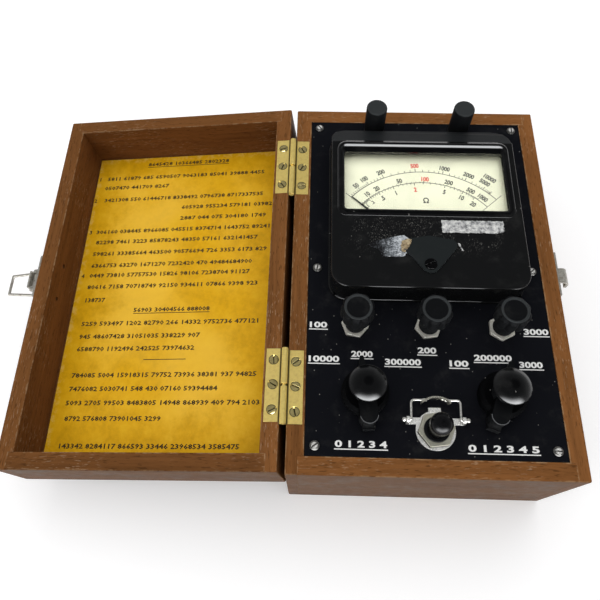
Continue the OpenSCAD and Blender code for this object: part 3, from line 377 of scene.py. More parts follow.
def metal(name, colour, stain, amount, rough, plated=0.6, gap_shade=None):
    """Makes a metal with stains, fine scratches and an uneven shine; gap_shade returns a mask of painted
    shade.
    """
    made, t = new_material(name)
    at = t.place()
    fine = t.noise(at, (900.0, 9000.0, 2500.0))
    dull = t.step(t.noise(at, 420.0, 5.0, 0.7), 0.42, 0.72) * amount
    base = t.mix(dull, colour, stain)
    if gap_shade:
        # Painted shade: the mask darkens the metal towards a near-black of its stain.
        base = t.mix(gap_shade(t), base, tinted(stain, 0.07))
    t.surface(Base_Color=base, Metallic=plated, Roughness=dull * 0.3 + fine * 0.12 + rough,
              Normal=t.bump(fine, 0.08, 0.0001))
    return made


def slot_shade(t):
    """Returns the painted shade in a screw's slot and round its head."""
    x, y, z = t.parts(t.carried("screw_at"))
    away = t.math("SQRT", x * x + y * y)
    return t.math("MAXIMUM", t.step(away, 0.8, 0.97), t.step(z * -1.0, 0.2, 0.55)) * 0.9


def knuckle_shade(t):
    """Returns the painted shade in the gaps beside the hinge knuckles."""
    axis = joint_place("lid_hinge").x
    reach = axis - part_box("base_hinge_leaves")[0].x
    away = abs(t.parts(t.place())[0] - axis)
    return (t.step(away, reach - 0.0005, reach) - t.step(away, reach + 0.0005, reach + 0.0011)) * 0.92


def moulded(name, colour, rough, shine, share, grainy, haze=0.22):
    """Makes a black moulding or sheet with dust, a fine unevenness and level faces that don't shine."""
    made, t = new_material(name)
    at = t.place()
    cloud = t.noise(at, 70.0, 5.0, 0.65)
    dots, = t.shared(speck_group, At=at, Scale=620.0, Share=share * settings().dust)
    base = t.mix(t.step(cloud, 0.5, 0.8) * haze, chosen(colour), (0.05, 0.05, 0.048))
    base = t.mix(dots * 0.6, base, (0.34, 0.33, 0.3))
    level = t.step(t.facing()[2], 0.97, 0.995)
    t.surface(Base_Color=base, Specular_IOR_Level=level * -shine + shine,
              Roughness=cloud * 0.18 + dots * 0.4 + rough,
              Normal=t.bump(t.noise(at, grainy, 3.0, 0.6), 0.1, 0.00008))
    return made


def card_material():
    """Makes the lid's card: mottled, with painted shade towards one corner, and pale rubbed edges."""
    made, t = new_material("Aged Card")
    at = t.carried("board_at")
    distance, = t.shared(edge_group, At=at, Half=t.carried("board_half"))
    colour = chosen("card_colour")
    cloud = t.noise(at, 30.0, 6.0, 0.7)
    spots = t.noise(at, 210.0, 4.0, 0.7)
    tone = cloud * 0.7 + spots * 0.3
    base = t.ramp(tone, (0.32, tinted(colour, 0.74)), (0.5, colour), (0.68, (0.74, 0.43, 0.012)))
    inward = distance + (cloud * 0.07 - 0.035)
    pale = t.step(inward, 0.004, 0.042) * t.step(t.noise(at, 11.0, 3.0), 0.36, 0.62)
    base = t.mix(pale * 0.55, base, (0.86, 0.53, 0.06))
    along, across, _ = t.parts(at)
    # Painted shade of the lid's walls, darkest towards one corner.
    painted_shade = t.step(along * 4.0 + across * 3.0, 0.35, 0.85)
    base = t.mix(painted_shade * 0.3, base, tinted(colour, 0.42))
    rubbed = (1.0 - t.step(distance, 0.0, spots * 0.009)) * t.step(spots, 0.45, 0.62)
    base = t.mix(rubbed * 0.5, base, (0.7, 0.5, 0.16))
    t.surface(Base_Color=base, Roughness=cloud * 0.3 + 0.34,
              Normal=t.bump(cloud + spots, 0.12, 0.0004), Specular_IOR_Level=0.12)
    return made


def enamel_material():
    """Makes the dial's enamel: cream and a little cloudy, with small brown specks."""
    made, t = new_material("Dial Enamel")
    at = t.place()
    colour = chosen("dial_colour")
    cloud = t.noise(at, 60.0, 4.0, 0.6)
    dots, = t.shared(speck_group, At=at, Scale=500.0, Share=0.03)
    base = t.mix(t.step(cloud, 0.35, 0.75), colour, tinted(colour, 0.9))
    base = t.mix(dots * 0.35, base, (0.3, 0.22, 0.12))
    t.surface(Base_Color=base, Roughness=cloud * 0.1 + 0.5)
    return made


def ink(name, colour, faded):
    """Makes a printed ink that is thin in places."""
    made, t = new_material(name)
    thin = t.step(t.noise(t.place(), 1500.0, 3.0, 0.6), 0.5, 0.75)
    t.surface(Base_Color=t.mix(thin * 0.4, colour, faded), Roughness=thin * 0.2 + 0.55)
    return made


def scuffed_black(*values):
    """Makes a polished black with a scratched, dusty band below the meter's window."""
    made = moulded(*values)
    t = Tree(made.node_tree)
    at = t.place()
    x, y, _ = t.parts(at)
    band = 0.016
    near = 1.0 - t.step(abs(y - band), 0.006, 0.02)
    aside = 1.0 - t.step(abs(x), 0.035, 0.056)
    dots, = t.shared(speck_group, At=at, Scale=1150.0, Share=0.24)
    scratch = t.step(t.noise(at, (1500.0, 900.0, 600.0), 4.0, 0.7), 0.57, 0.68)
    patch = t.step(t.noise(at, 110.0, 4.0, 0.65), 0.42, 0.6)
    mask = near * aside * patch * t.math("MAXIMUM", dots, scratch) * 0.5
    inputs = made.node_tree.nodes["Principled BSDF"].inputs
    for name, value in (("Base Color", (0.3, 0.29, 0.27)), ("Roughness", (0.8, 0.8, 0.8))):
        t.put(inputs[name], t.mix(mask, inputs[name].links[0].from_socket, value))
    return made


def flake_material():
    """Makes a peeled silver flake that thins out to black at its left end."""
    made, t = new_material("Peeled Flake")
    at = t.place()
    left = t.step(t.parts(at)[0], -0.036, -0.014)
    cloud = t.noise(at, 420.0, 6.0, 0.78)
    fibres = t.noise(at, (700.0, 1900.0, 800.0), 4.0)
    tone = cloud * 0.7 + fibres * 0.3 + (left * 0.24 - 0.17)
    base = t.ramp(tone, (0.36, (0.006, 0.006, 0.007)), (0.47, (0.09, 0.1, 0.11)),
                  (0.58, (0.46, 0.49, 0.52)), (0.7, (0.8, 0.81, 0.8)))
    t.surface(Base_Color=base, Roughness=fibres * 0.3 + 0.3, Normal=t.bump(cloud, 0.5, 0.0003),
              Specular_IOR_Level=0.3)
    return made


def paper(name, dull, light):
    """Makes a torn, scuffed paper."""
    made, t = new_material(name)
    at = t.place()
    cloud = t.noise(at, 330.0, 6.0, 0.75)
    fibres = t.noise(at, (500.0, 2400.0, 800.0), 3.0)
    base = t.ramp(cloud, (0.37, (0.05, 0.05, 0.052)), (0.47, dull), (0.6, light))
    base = t.mix(t.step(fibres, 0.55, 0.7) * 0.4, base, (0.2, 0.2, 0.2))
    t.surface(Base_Color=base, Roughness=fibres * 0.3 + 0.4, Normal=t.bump(cloud, 0.5, 0.0003))
    return made


def glass_material():
    """Makes the window's glass: it reflects a little and lets the lamps through."""
    made, t = new_material("Window Glass")
    clear = (0.97, 0.98, 0.97)
    film = t.step(t.noise(t.place(), 90.0, 4.0, 0.6), 0.5, 0.8)
    shader = t.surface(Base_Color=clear, Transmission_Weight=1.0, IOR=1.18, Roughness=film * 0.03)
    shadow = t.add("ShaderNodeLightPath").outputs["Is Shadow Ray"]
    mixed = t.add("ShaderNodeMixShader", shadow, shader, t.add("ShaderNodeBsdfTransparent", Color=clear))
    t.put(made.node_tree.nodes["Material Output"].inputs["Surface"], mixed)
    return made


# What two finishes of a metal share: colour, stain, its amount, and for brass the roughness
BRASS = ((0.97, 0.75, 0.23), (0.68, 0.47, 0.14), 0.4, 0.36)
NICKEL = ((0.5, 0.48, 0.43), (0.2, 0.17, 0.13), 0.8)
# Each finish: its maker, then what the maker takes
FINISHES = {
    "mahogany": (wood, "Mahogany", "wood_colour", 0.3),
    "plywood": (wood, "Thin Board", (0.36, 0.21, 0.1), 0.55),
    "panel": (moulded, "Panel Black", "panel_colour", 0.42, 0.08, 0.07, 3200.0),
    "bakelite": (moulded, "Polished Black", (0.003, 0.0031, 0.0034), 0.09, 0.62, 0.03, 900.0),
    "matte_black": (moulded, "Dull Black", (0.0085, 0.009, 0.0098), 0.36, 0.2, 0.02, 2400.0),
    "flat_black": (moulded, "Flat Black", (0.0062, 0.0066, 0.0072), 0.5, 0.045, 0.02, 2400.0),
    # Painted shade: a near-black for the switch knobs' skirts, under their domes.
    "deep_black": (moulded, "Deep Black", (0.0022, 0.0023, 0.0026), 0.55, 0.02, 0.01, 2400.0, 0.04),
    # Painted highlight: a light grey for the bead along the thumb bars' ends.
    "worn_edge": (moulded, "Worn Edge", (0.1, 0.104, 0.108), 0.4, 0.3, 0.02, 2400.0),
    # Painted sheen for the meter's back slope.
    "hazy_black": (moulded, "Hazy Black", (0.0125, 0.014, 0.015), 0.5, 0.06, 0.02, 2400.0),
    "button_black": (moulded, "Button Black", (0.0045, 0.0047, 0.0052), 0.13, 0.24, 0.02, 900.0),
    # Lighter black for rubbed tops; on the adjusters' beads it is partly a painted highlight.
    "rubbed": (moulded, "Rubbed Black", (0.03, 0.033, 0.034), 0.45, 0.1, 0.02, 2400.0),
    "shield": (moulded, "Dull Plate", (0.015, 0.0175, 0.018), 0.6, 0.1, 0.02, 2400.0),
    "scuffed": (scuffed_black, "Scuffed Black", (0.0078, 0.0081, 0.0084), 0.1, 0.25, 0.03, 900.0),
    "phenolic": (moulded, "Brown Laminate", (0.16, 0.075, 0.03), 0.5, 0.3, 0.02, 1500.0),
    "sleeve": (moulded, "Card Sleeve", (0.4, 0.27, 0.11), 0.7, 0.2, 0.02, 800.0),
    # Painted shade for the button nut's sides.
    "tarnish": (metal, "Tarnished Side", (0.08, 0.075, 0.06), (0.035, 0.03, 0.025), 0.6, 0.4),
    "nut": (metal, "Dull Nut", (0.56, 0.55, 0.45), (0.38, 0.36, 0.28), 0.6, 0.3),
    "washer": (metal, "Washer Plate", (0.95, 0.95, 0.92), (0.6, 0.58, 0.5), 0.5, 0.2, 0.45),
    "saddle": (metal, "Saddle Plate", (0.72, 0.7, 0.6), (0.4, 0.38, 0.3), 0.4, 0.18, 0.75),
    "bright": (metal, "Bright Nut", (0.86, 0.84, 0.75), (0.42, 0.38, 0.3), 0.5, 0.28, 0.5),
    "chrome": (metal, "Bright Plate", (0.84, 0.83, 0.78), (0.5, 0.48, 0.42), 0.5, 0.2),
    "chrome_screw": (metal, "Plated Screw", (0.92, 0.91, 0.87), (0.5, 0.48, 0.42), 0.4, 0.2, 0.5,
                     slot_shade),
    "brass": (metal, "Dull Brass", *BRASS),
    "hinge_brass": (metal, "Hinge Brass", *BRASS, 0.6, knuckle_shade),
    "brass_screw": (metal, "Brass Screw", (0.74, 0.62, 0.27), (0.4, 0.31, 0.12), 0.6, 0.3, 0.8, slot_shade),
    "nickel": (metal, "Dull Nickel", *NICKEL, 0.36),
    "nickel_screw": (metal, "Nickel Screw", *NICKEL, 0.34, 0.8, slot_shade),
    "copper": (metal, "Enamelled Copper", (0.5, 0.2, 0.09), (0.2, 0.08, 0.04), 0.5, 0.3),
    "card": (card_material,),
    "dial": (enamel_material,),
    "glass": (glass_material,),
    "flake": (flake_material,),
    "paper": (paper, "Torn Paper", (0.34, 0.345, 0.345), (0.68, 0.68, 0.65)),
    "tan_paper": (paper, "Torn Backing", (0.2, 0.14, 0.07), (0.46, 0.37, 0.22)),
    "black_ink": (ink, "Dial Ink", (0.01, 0.01, 0.01), (0.05, 0.047, 0.04)),
    "red_ink": (ink, "Red Ink", (0.62, 0.035, 0.02), (0.62, 0.2, 0.12)),
    "white_ink": (ink, "White Ink", (0.74, 0.74, 0.72), (0.4, 0.4, 0.4)),
    "card_ink": (ink, "Card Ink", (0.03, 0.02, 0.008), (0.16, 0.085, 0.012)),
}


@functools.cache
def material(name):
    """Returns a material, made at its first use."""
    maker, *values = FINISHES[name]
    return maker(*values)


def solid_of(*names):
    """Returns a copy of CAD nodes, each merged by itself, with flat faces joined."""
    bm = bmesh.new()
    for name in names:
        one = bmesh.new()
        one.from_mesh(NODES[name].data)
        bmesh.ops.remove_doubles(one, verts=one.verts, dist=2e-6)
        bmesh.ops.dissolve_limit(one, angle_limit=math.radians(0.4), verts=one.verts, edges=one.edges)
        mesh = bpy.data.meshes.new(name)
        one.to_mesh(mesh)
        one.free()
        bm.from_mesh(mesh)
        bpy.data.meshes.remove(mesh)
    bm.normal_update()
    return bm


def islands(bm):
    """Returns the vertices of each separate solid."""
    found, seen = [], set()
    for start in bm.verts:
        if start in seen:
            continue
        seen.add(start)
        solid, front = [], [start]
        while front:
            vert = front.pop()
            solid.append(vert)
            for edge in vert.link_edges:
                other = edge.other_vert(vert)
                if other not in seen:
                    seen.add(other)
                    front.append(other)
        found.append(solid)
    return found


def box_of(points):
    """Returns the lowest and highest corner of some points."""
    points = list(points)
    return (Vector([min(p[i] for p in points) for i in range(3)]),
            Vector([max(p[i] for p in points) for i in range(3)]))


def round_edges(bm, width, segments, sharper=35, pick=None):
    """Rounds the outward edges sharper than an angle, in degrees, that pick chooses."""
    picked = [e for e in bm.edges if e.is_manifold and e.calc_face_angle_signed(0.0) > math.radians(sharper)
              and (pick is None or pick(e))]
    bmesh.ops.bevel(bm, geom=picked, offset=width, offset_type="OFFSET", segments=segments, profile=0.5,
                    affect="EDGES", clamp_overlap=pick is None)
    return bm


def link(name, data):
    """Puts data in the scene as an object."""
    made = bpy.data.objects.new(name, data)
    bpy.context.scene.collection.objects.link(made)
    return made


def new_object(name, bm, *materials):
    """Turns a mesh into an object in the scene."""
    mesh = bpy.data.meshes.new(name)
    bm.normal_update()
    bm.to_mesh(mesh)
    bm.free()
    for one in materials:
        mesh.materials.append(one)
    return link(name, mesh)


def evaluated(obj):
    """Returns a new mesh of what an object shows."""
    graph = bpy.context.evaluated_depsgraph_get()
    return bpy.data.meshes.new_from_object(obj.evaluated_get(graph))


def bake(obj):
    """Puts the result of an object's modifiers in its mesh."""
    mesh = evaluated(obj)
    old = obj.data
    obj.modifiers.clear()
    obj.data = mesh
    bpy.data.meshes.remove(old)
    mesh.name = obj.name
    return obj


def piece(name, bm, finish, body, replaced=(), smooth=40):
    """Makes a shaded piece that rides on a body, and stands for CAD nodes."""
    made = new_object(name, bm, material(finish))
    made.data.shade_smooth()
    made.data.set_sharp_from_angle(angle=math.radians(smooth))
    made.modifiers.new("Normals", "WEIGHTED_NORMAL").keep_sharp = True
    bake(made)
    return settle(made, body, replaced)


def settle(made, body, replaced=()):
    """Puts a finished piece on its body and the nodes it stands for."""
    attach(made, body)
    if replaced:
        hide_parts(*replaced)
    return made


def rounded(name, node, finish, body, width, segments=2):
    """Makes a piece from a CAD node with its edges rounded by a width in millimetres."""
    bm = round_edges(solid_of(node), width * MM, segments)
    return piece(name, bm, finish, body, [node])


def refinish(made, finish, pick):
    """Gives the faces that pick chooses by their middle another material."""
    made.data.materials.append(material(finish))
    for face in made.data.polygons:
        if pick(face.center):
            face.material_index = len(made.data.materials) - 1


def dress(finish, *names):
    """Gives CAD nodes that stay as they are a material."""
    for name in names:
        mesh = NODES[name].data
        mesh.materials.clear()
        mesh.materials.append(material(finish))


def add_skin(bm, rings):
    """Joins rings of vertices by faces; a ring may be one vertex repeated."""
    for ring, after in zip(rings, rings[1:]):
        for i in range(len(ring)):
            n = (i + 1) % len(ring)
            corners = (ring[i], after[i], after[n], ring[n])
            bm.faces.new(list(dict.fromkeys(corners)))


def outward(bm):
    """Turns a closed mesh's faces outward."""
    bmesh.ops.recalc_face_normals(bm, faces=bm.faces)
    return bm


def add_lathe(bm, profile, place, segments, lobes, depth):
    """Adds a profile of radius, height and share of the lobes' depth, from axis to axis, turned about z."""
    rings = []
    for r, z, share in profile:
        if r == 0.0:
            rings.append([bm.verts.new(place @ Vector((0.0, 0.0, z)))] * segments)
            continue
        ring = []
        for i in range(segments):
            a = math.tau * i / segments
            out = r - share * depth * (1.0 - abs(math.sin(lobes * a / 2))) ** 1.3
            ring.append(bm.verts.new(place @ Vector((out * math.cos(a), out * math.sin(a), z))))
        rings.append(ring)
    add_skin(bm, rings)


def add_prism(bm, outline, place, height):
    """Adds a flat outline given a thickness."""
    low = [bm.verts.new(place @ Vector((x, y, 0.0))) for x, y in outline]
    high = [bm.verts.new(place @ Vector((x, y, height))) for x, y in outline]
    bm.faces.new(low[::-1])
    bm.faces.new(high)
    for i in range(len(low)):
        n = (i + 1) % len(low)
        bm.faces.new((low[i], low[n], high[n], high[i]))


def add_bar(bm, place, width, length, height):
    """Adds a flat bar with its middle at a place."""
    x, y = width / 2, length / 2
    add_prism(bm, [(-x, -y), (x, -y), (x, y), (-x, y)], place, height)


def add_rod(bm, path, place, count=20):
    """Adds a round rod along a flat path of points, each with its radius."""
    rings = []
    for i, (at, radius) in enumerate(path):
        along = (path[min(i + 1, len(path) - 1)][0] - path[max(i - 1, 0)][0]).normalized()
        side = Vector((-along.y, along.x, 0.0))
        ring = []
        for k in range(count):
            a = math.tau * k / count
            away = math.cos(a) * side + math.sin(a) * UP
            ring.append(bm.verts.new(place @ (at.to_3d() + radius * away)))
        rings.append(ring)
    add_skin(bm, rings)
    bm.faces.new(rings[0])
    bm.faces.new(rings[-1])


def rounded_outline(width, length, radius):
    """Returns a rectangle's outline with round corners, anticlockwise."""
    corner = 12
    points = []
    for k, (sx, sy) in enumerate(((1, 1), (-1, 1), (-1, -1), (1, -1))):
        centre = Vector((sx * (width / 2 - radius), sy * (length / 2 - radius)))
        for i in range(corner + 1):
            a = math.radians(90.0 * k + 90.0 * i / corner)
            points.append(centre + radius * Vector((math.cos(a), math.sin(a))))
    return points


def text_mesh(text, height, thick, curve_steps, bold):
    """Returns the mesh of a line of numerals with a given height and weight, centred on its width."""
    curve = bpy.data.curves.new("Numerals", "FONT")
    curve.body = text
    curve.size = height / 0.69
    curve.align_x = "CENTER"
    curve.resolution_u = curve_steps
    curve.offset = bold * height
    curve.extrude = thick / 2
    obj = link("Numerals", curve)
    mesh = evaluated(obj)
    bpy.data.objects.remove(obj)
    bpy.data.curves.remove(curve)
    return mesh


def add_text(bm, text, height, place, thick, bold, stretch=1.0, curve_steps=3, width=None):
    """Adds numerals whose middle lies at a place; width squeezes them to fit."""
    mesh = text_mesh(text, height, thick, curve_steps, bold)
    low, high = box_of(v.co for v in mesh.vertices)
    if width:
        stretch = width / (high.x - low.x)
    centre = shift(-(low.x + high.x) / 2, -height / 2, thick / 2)
    mesh.transform(place @ Matrix.Diagonal((stretch, 1.0, 1.0, 1.0)) @ centre)
    bm.from_mesh(mesh)
    bpy.data.meshes.remove(mesh)


def use_tree(obj, tree, **values):
    """Adds a geometry tree to an object, with its inputs set by name."""
    modifier = obj.modifiers.new(tree.name, "NODES")
    modifier.node_group = tree
    for item in tree.interface.items_tree:
        name = item.name.replace(" ", "_")
        if item.item_type == "SOCKET" and item.in_out == "INPUT" and name in values:
            modifier[item.identifier] = values[name]
    return bake(obj)


def finish_tree(t, made, shape, finish):
    """Ends a geometry tree: its copies become one mesh with a material."""
    whole = t.add("GeometryNodeRealizeInstances", shape)
    t.put(made["Geometry"], t.add("GeometryNodeSetMaterial", whole, Material=finish))


def number_of(t, name, kind="FLOAT"):
    """Reads a value that each point carries."""
    return t.values(t.add("GeometryNodeInputNamedAttribute", data_type=kind, Name=name))[0]


@functools.cache
def screw_tree():
    """Geometry tree: a screw on each point, along its own direction and turned about it."""
    tree, t, given, made = new_group(
        "GeometryNodeTree", "Screws on Marks",
        {"Geometry": "geometry", "Screw": "object", "Material": "material"}, {"Geometry": "geometry"})
    screw = t.add("GeometryNodeObjectInfo", given["Screw"]).outputs["Geometry"]
    out = number_of(t, "out", "FLOAT_VECTOR")
    spin = t.add("FunctionNodeAxisAngleToRotation", Axis=(0.0, 0.0, 1.0), Angle=number_of(t, "turn"))
    stand = t.add("FunctionNodeAlignRotationToVector", Vector=out, axis="Z")
    turned = t.add("FunctionNodeRotateRotation", stand, spin, rotation_space="LOCAL")
    put = t.add("GeometryNodeInstanceOnPoints", Points=given["Geometry"], Instance=screw, Rotation=turned)
    finish_tree(t, made, put, given["Material"])
    return tree


@functools.cache
def tick_tree():
    """Geometry tree: a mark on an arc for each point, placed by its value on a scale of resistance."""
    tree, t, given, made = new_group(
        "GeometryNodeTree", "Scale Marks",
        {"Geometry": "geometry", "Centre": "vector", "Radius": "number", "Middle Value": "number",
         "Half Angle": "number", "Thickness": "number", "Material": "material"}, {"Geometry": "geometry"})
    value, reach, width = (number_of(t, name) for name in ("value", "reach", "width"))
    share = value / (value + given["Middle Value"])
    angle = (share * 2.0 - 1.0) * given["Half Angle"]
    radius = reach * 0.5 + given["Radius"]
    away = t.add("ShaderNodeCombineXYZ", t.math("SINE", angle), t.math("COSINE", angle), 0.0)
    place = t.vector("ADD", given["Centre"], t.vector("SCALE", away, None, None, radius))
    moved = t.add("GeometryNodeSetPosition", given["Geometry"], Position=place)
    mark = t.add("GeometryNodeMeshCube")
    turn = t.add("FunctionNodeAxisAngleToRotation", Axis=(0.0, 0.0, -1.0), Angle=angle)
    size = t.add("ShaderNodeCombineXYZ", width, abs(reach), given["Thickness"])
    put = t.add("GeometryNodeInstanceOnPoints", Points=moved, Instance=mark.outputs["Mesh"],
                Rotation=turn, Scale=size)
    finish_tree(t, made, put, given["Material"])
    return tree


def points_object(name, places, **values):
    """Makes an object of loose points that carry values."""
    mesh = bpy.data.meshes.new(name)
    mesh.from_pydata([tuple(p) for p in places], [], [])
    for label, data in values.items():
        vectors = isinstance(data[0], Vector)
        layer = mesh.attributes.new(label, "FLOAT_VECTOR" if vectors else "FLOAT", "POINT")
        flat = [c for v in data for c in v] if vectors else list(data)
        layer.data.foreach_set("vector" if vectors else "value", flat)
    return link(name, mesh)


def lid_frame():
    """Returns the lid's own frame: its hinge axis, with the rim's plane level."""
    inside = max(NODES["lid_board"].data.polygons, key=lambda f: f.normal.z).normal
    low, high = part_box("lid_board")
    hinge = joint_place("lid_hinge")
    tilt = math.atan2(inside.x, inside.z)
    return shift(hinge.x, (low.y + high.y) / 2, hinge.z) @ Matrix.Rotation(tilt, 4, "Y")


def mark_boards(bm, frame_of, rng):
    """Stores on each board its place, half size and seed, with its length along x."""
    at = bm.verts.layers.float_vector.new("board_at")
    half = bm.verts.layers.float_vector.new("board_half")
    seed = bm.verts.layers.float.new("board_seed")
    back = frame_of.inverted()
    for solid in islands(bm):
        local = [back @ v.co for v in solid]
        low, high = box_of(local)
        size, centre = (high - low) / 2, (low + high) / 2
        order = sorted(range(3), key=lambda i: -size[i])
        number = rng.random()
        for vert, point in zip(solid, local):
            vert[at] = Vector([point[i] - centre[i] for i in order])
            vert[half] = Vector([size[i] for i in order])
            vert[seed] = number


def boards(name, nodes, finish, body, frame_of, seed, whole=None):
    """Makes wooden pieces from CAD boards: outer edges of the whole are rounded, long inner ones eased."""
    near, short, long, eased = 0.05 * MM, 3 * MM, 18 * MM, 0.22 * MM
    bm = solid_of(*nodes)
    back = frame_of.inverted()
    low, high = whole or box_of(back @ v.co for v in bm.verts)

    def outer(edge):
        middle = back @ ((edge.verts[0].co + edge.verts[1].co) / 2)
        sides = [min(middle[i] - low[i], high[i] - middle[i]) < near for i in range(3)]
        return sum(sides) == 2 and edge.calc_length() > short

    round_edges(bm, settings().corner, 3, 60, outer)
    round_edges(bm, eased, 2, 60, lambda e: e.calc_length() > long)
    mark_boards(bm, frame_of, random.Random(seed))
    return piece(name, bm, finish, body, nodes)


class OHMMETER_OT_case(bpy.types.Operator):
    """Builds the wooden base, its hatch and the lid"""

    bl_idname = "ohmmeter.case"
    bl_label = "Wooden Case"

    def execute(self, context):
        still, tilted = Matrix.Identity(4), lid_frame()
        low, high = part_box("base_left")
        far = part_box("base_right")[1]
        whole = (low, Vector((far.x, high.y, high.z)))
        boards("base_boards", ["base_left", "base_right", "base_ends"], "mahogany", "case", still, 11, whole)
        boards("base_floor", ["base_bottom", "inner_battens"], "plywood", "case", still, 5)
        boards("hatch_board", ["cell_hatch"], "mahogany", "cell_hatch", still, 8)
        boards("lid_walls", ["lid_sides", "lid_ends"], "mahogany", "lid", tilted, 23)
        boards("lid_sheet", ["lid_board"], "mahogany", "lid", tilted, 4)
        return {"FINISHED"}


class OHMMETER_OT_card(bpy.types.Operator):
    """Builds the card in the lid, with rows of plain numerals"""

    bl_idname = "ohmmeter.card"
    bl_label = "Card"

    # Height on the card and both ends of each row, in millimetres
    ROWS = (
        (226, 40, 104), (214, 9, 132), (205.5, 8, 59), (194.5, 9.5, 132), (185.5, 71, 139), (176, 71, 135),
        (166.5, 8, 138), (157.7, 9, 130), (148, 8.5, 137), (138.3, 9, 127), (130.3, 9, 126), (121.2, 9, 132),
        (111, 9.5, 24), (102.7, 46, 100), (93, 10, 134), (83.5, 10, 95), (74.5, 10, 92), (56, 10, 135),
        (46.7, 10, 110), (37.3, 9.5, 138), (27, 10.5, 75), (9.5, 10.5, 127),
    )
    # Height, place and numeral of the mark before a paragraph
    MARKS = ((214, 3.2, "1"), (194.5, 2.6, "2"), (166.5, 3.6, "3"), (130.3, 4.2, "4"))
    # Height and both ends of the lines under headings
    LINES = ((223.4, 40, 104), (100.1, 46, 100), (66.5, 58, 87))

    def execute(self, context):
        tilted = lid_frame()
        back = tilted.inverted()
        bm = solid_of("instruction_card")
        round_edges(bm, 0.2 * MM, 2, 60)
        mark_boards(bm, tilted, random.Random(3))
        piece("card", bm, "card", "lid", ["instruction_card"])
        low, high = box_of(back @ v.co for v in NODES["instruction_card"].data.vertices)
        walls = box_of(back @ v.co for v in NODES["lid_ends"].data.vertices)
        corner = shift(low.x - 1.0 * MM, walls[0].y + 10.3 * MM, high.z + 0.03 * MM)
        rng = random.Random(17)
        ink_mesh = bmesh.new()
        tall, bold, pitch = 3.0 * MM, 0.035, 2.62

        def spot(x, y):
            return tilted @ corner @ shift(x * MM, y * MM, 0.0)

        for y, start, end in self.ROWS:
            count = round((end - start) / pitch)
            digits = "".join(rng.choice("0123456789") for _ in range(count))
            cut = set()
            at = rng.randint(3, 7)
            while at < count - 3:
                cut.add(at)
                at += rng.randint(4, 9)
            row = "".join(" " if i in cut else d for i, d in enumerate(digits))
            add_text(ink_mesh, row, tall, spot((start + end) / 2, y), CARD_INK, bold, curve_steps=1,
                     width=(end - start) * MM)
        for y, x, mark in self.MARKS:
            add_text(ink_mesh, mark, tall, spot(x, y), CARD_INK, bold, curve_steps=1)
        for y, start, end in self.LINES:
            add_bar(ink_mesh, spot((start + end) / 2, y), (end - start) * MM, 0.45 * MM, CARD_INK)
        piece("card_print", ink_mesh, "card_ink", "lid")
        return {"FINISHED"}


class OHMMETER_OT_hardware(bpy.types.Operator):
    """Builds the hinges, the catch and the keeper"""

    bl_idname = "ohmmeter.hardware"
    bl_label = "Hinges and Catch"

    # Name, CAD node, finish, body and rounding in millimetres
    PIECES = (
        ("hinge_leaves_base", "base_hinge_leaves", "hinge_brass", "case", 0.18),
        ("hinge_leaves_lid", "lid_hinge_leaves", "hinge_brass", "lid", 0.18),
        ("hinge_rods", "hinge_pins", "brass", "case", 0.3),
        ("catch_base", "catch_plate", "nickel", "lid", 0.2),
        ("catch_handle", "catch_lever", "nickel", "catch_lever", 0.15),
        ("catch_wire", "catch_loop", "nickel", "catch_loop", 0.05),
        ("keeper", "keeper_plate", "nickel", "case", 0.2),
    )

    def execute(self, context):
        for name, node, finish, body, width in self.PIECES:
            rounded(name, node, finish, body, width)
        return {"FINISHED"}


class OHMMETER_OT_screws(bpy.types.Operator):
    """Builds the slotted screws, each group from one rounded screw"""

    bl_idname = "ohmmeter.screws"
    bl_label = "Screws"

    def execute(self, context):
        tilted = lid_frame().to_3x3()
        side = Vector((1.0, 0.0, 0.0))
        # CAD node, direction of the heads, finish, body and rounding in millimetres
        for node, out, finish, body, width in (
                ("panel_screws", UP, "chrome_screw", "case", 0.16),
                ("base_hinge_screws", UP, "brass_screw", "case", 0.14),
                ("lid_hinge_screws", tilted @ UP, "brass_screw", "lid", 0.14),
                ("keeper_screws", side, "nickel_screw", "case", 0.14),
                ("catch_screws", tilted @ -side, "nickel_screw", "lid", 0.14),
                ("hatch_screw", -side, "brass_screw", "cell_hatch", 0.14)):
            self.copies(node, out, finish, body, width)
        return {"FINISHED"}

    def copies(self, node, out, finish, body, width):
        """Puts a rounded copy of a node's first screw on the place of each of them."""
        bm = solid_of(node)
        solids = islands(bm)
        turn = out.to_track_quat("Z", "Y").to_matrix()
        back = turn.transposed()
        places, angles = [], []
        for solid in solids:
            low, high = box_of(back @ v.co for v in solid)
            places.append(turn @ Vector(((low.x + high.x) / 2, (low.y + high.y) / 2, high.z)))
            angles.append(self.slot_angle(solid, back))
        first = set(solids[0])
        bmesh.ops.delete(bm, geom=[v for v in bm.verts if v not in first], context="VERTS")
        upright = Matrix.Rotation(-angles[0], 4, "Z") @ back.to_4x4()
        bm.transform(upright @ shift(*-places[0]))
        round_edges(bm, width * MM, 2, 30)
        at = bm.verts.layers.float_vector.new("screw_at")
        reach = max(v.co.xy.length for v in bm.verts)
        for vert in bm.verts:
            vert[at] = (vert.co.x / reach, vert.co.y / reach, vert.co.z / MM)
        template = new_object(node + "_template", bm)
        template.data.shade_smooth()
        template.data.set_sharp_from_angle(angle=math.radians(40))
        own = [Vector(out)] * len(places)
        marks = points_object(node.replace("_screw", "_slotted"), places, out=own, turn=angles)
        use_tree(marks, screw_tree(), Screw=template, Material=material(finish))
        bpy.data.objects.remove(template)
        settle(marks, body, [node])

    @staticmethod
    def slot_angle(solid, back):
        """Returns the direction of a screw's slot, from its longest straight edge near the top."""
        top = max((back @ v.co).z for v in solid)
        best, angle = 0.0, 0.0
        for edge in (e for v in solid for e in v.link_edges):
            a, b = (back @ v.co for v in edge.verts)
            flat = (b - a).xy
            level = abs(a.z - b.z) < 0.01 * MM and top - a.z < 2 * MM
            if level and flat.length > best + 1e-6:
                best, angle = flat.length, math.atan2(flat.y, flat.x)
        return angle


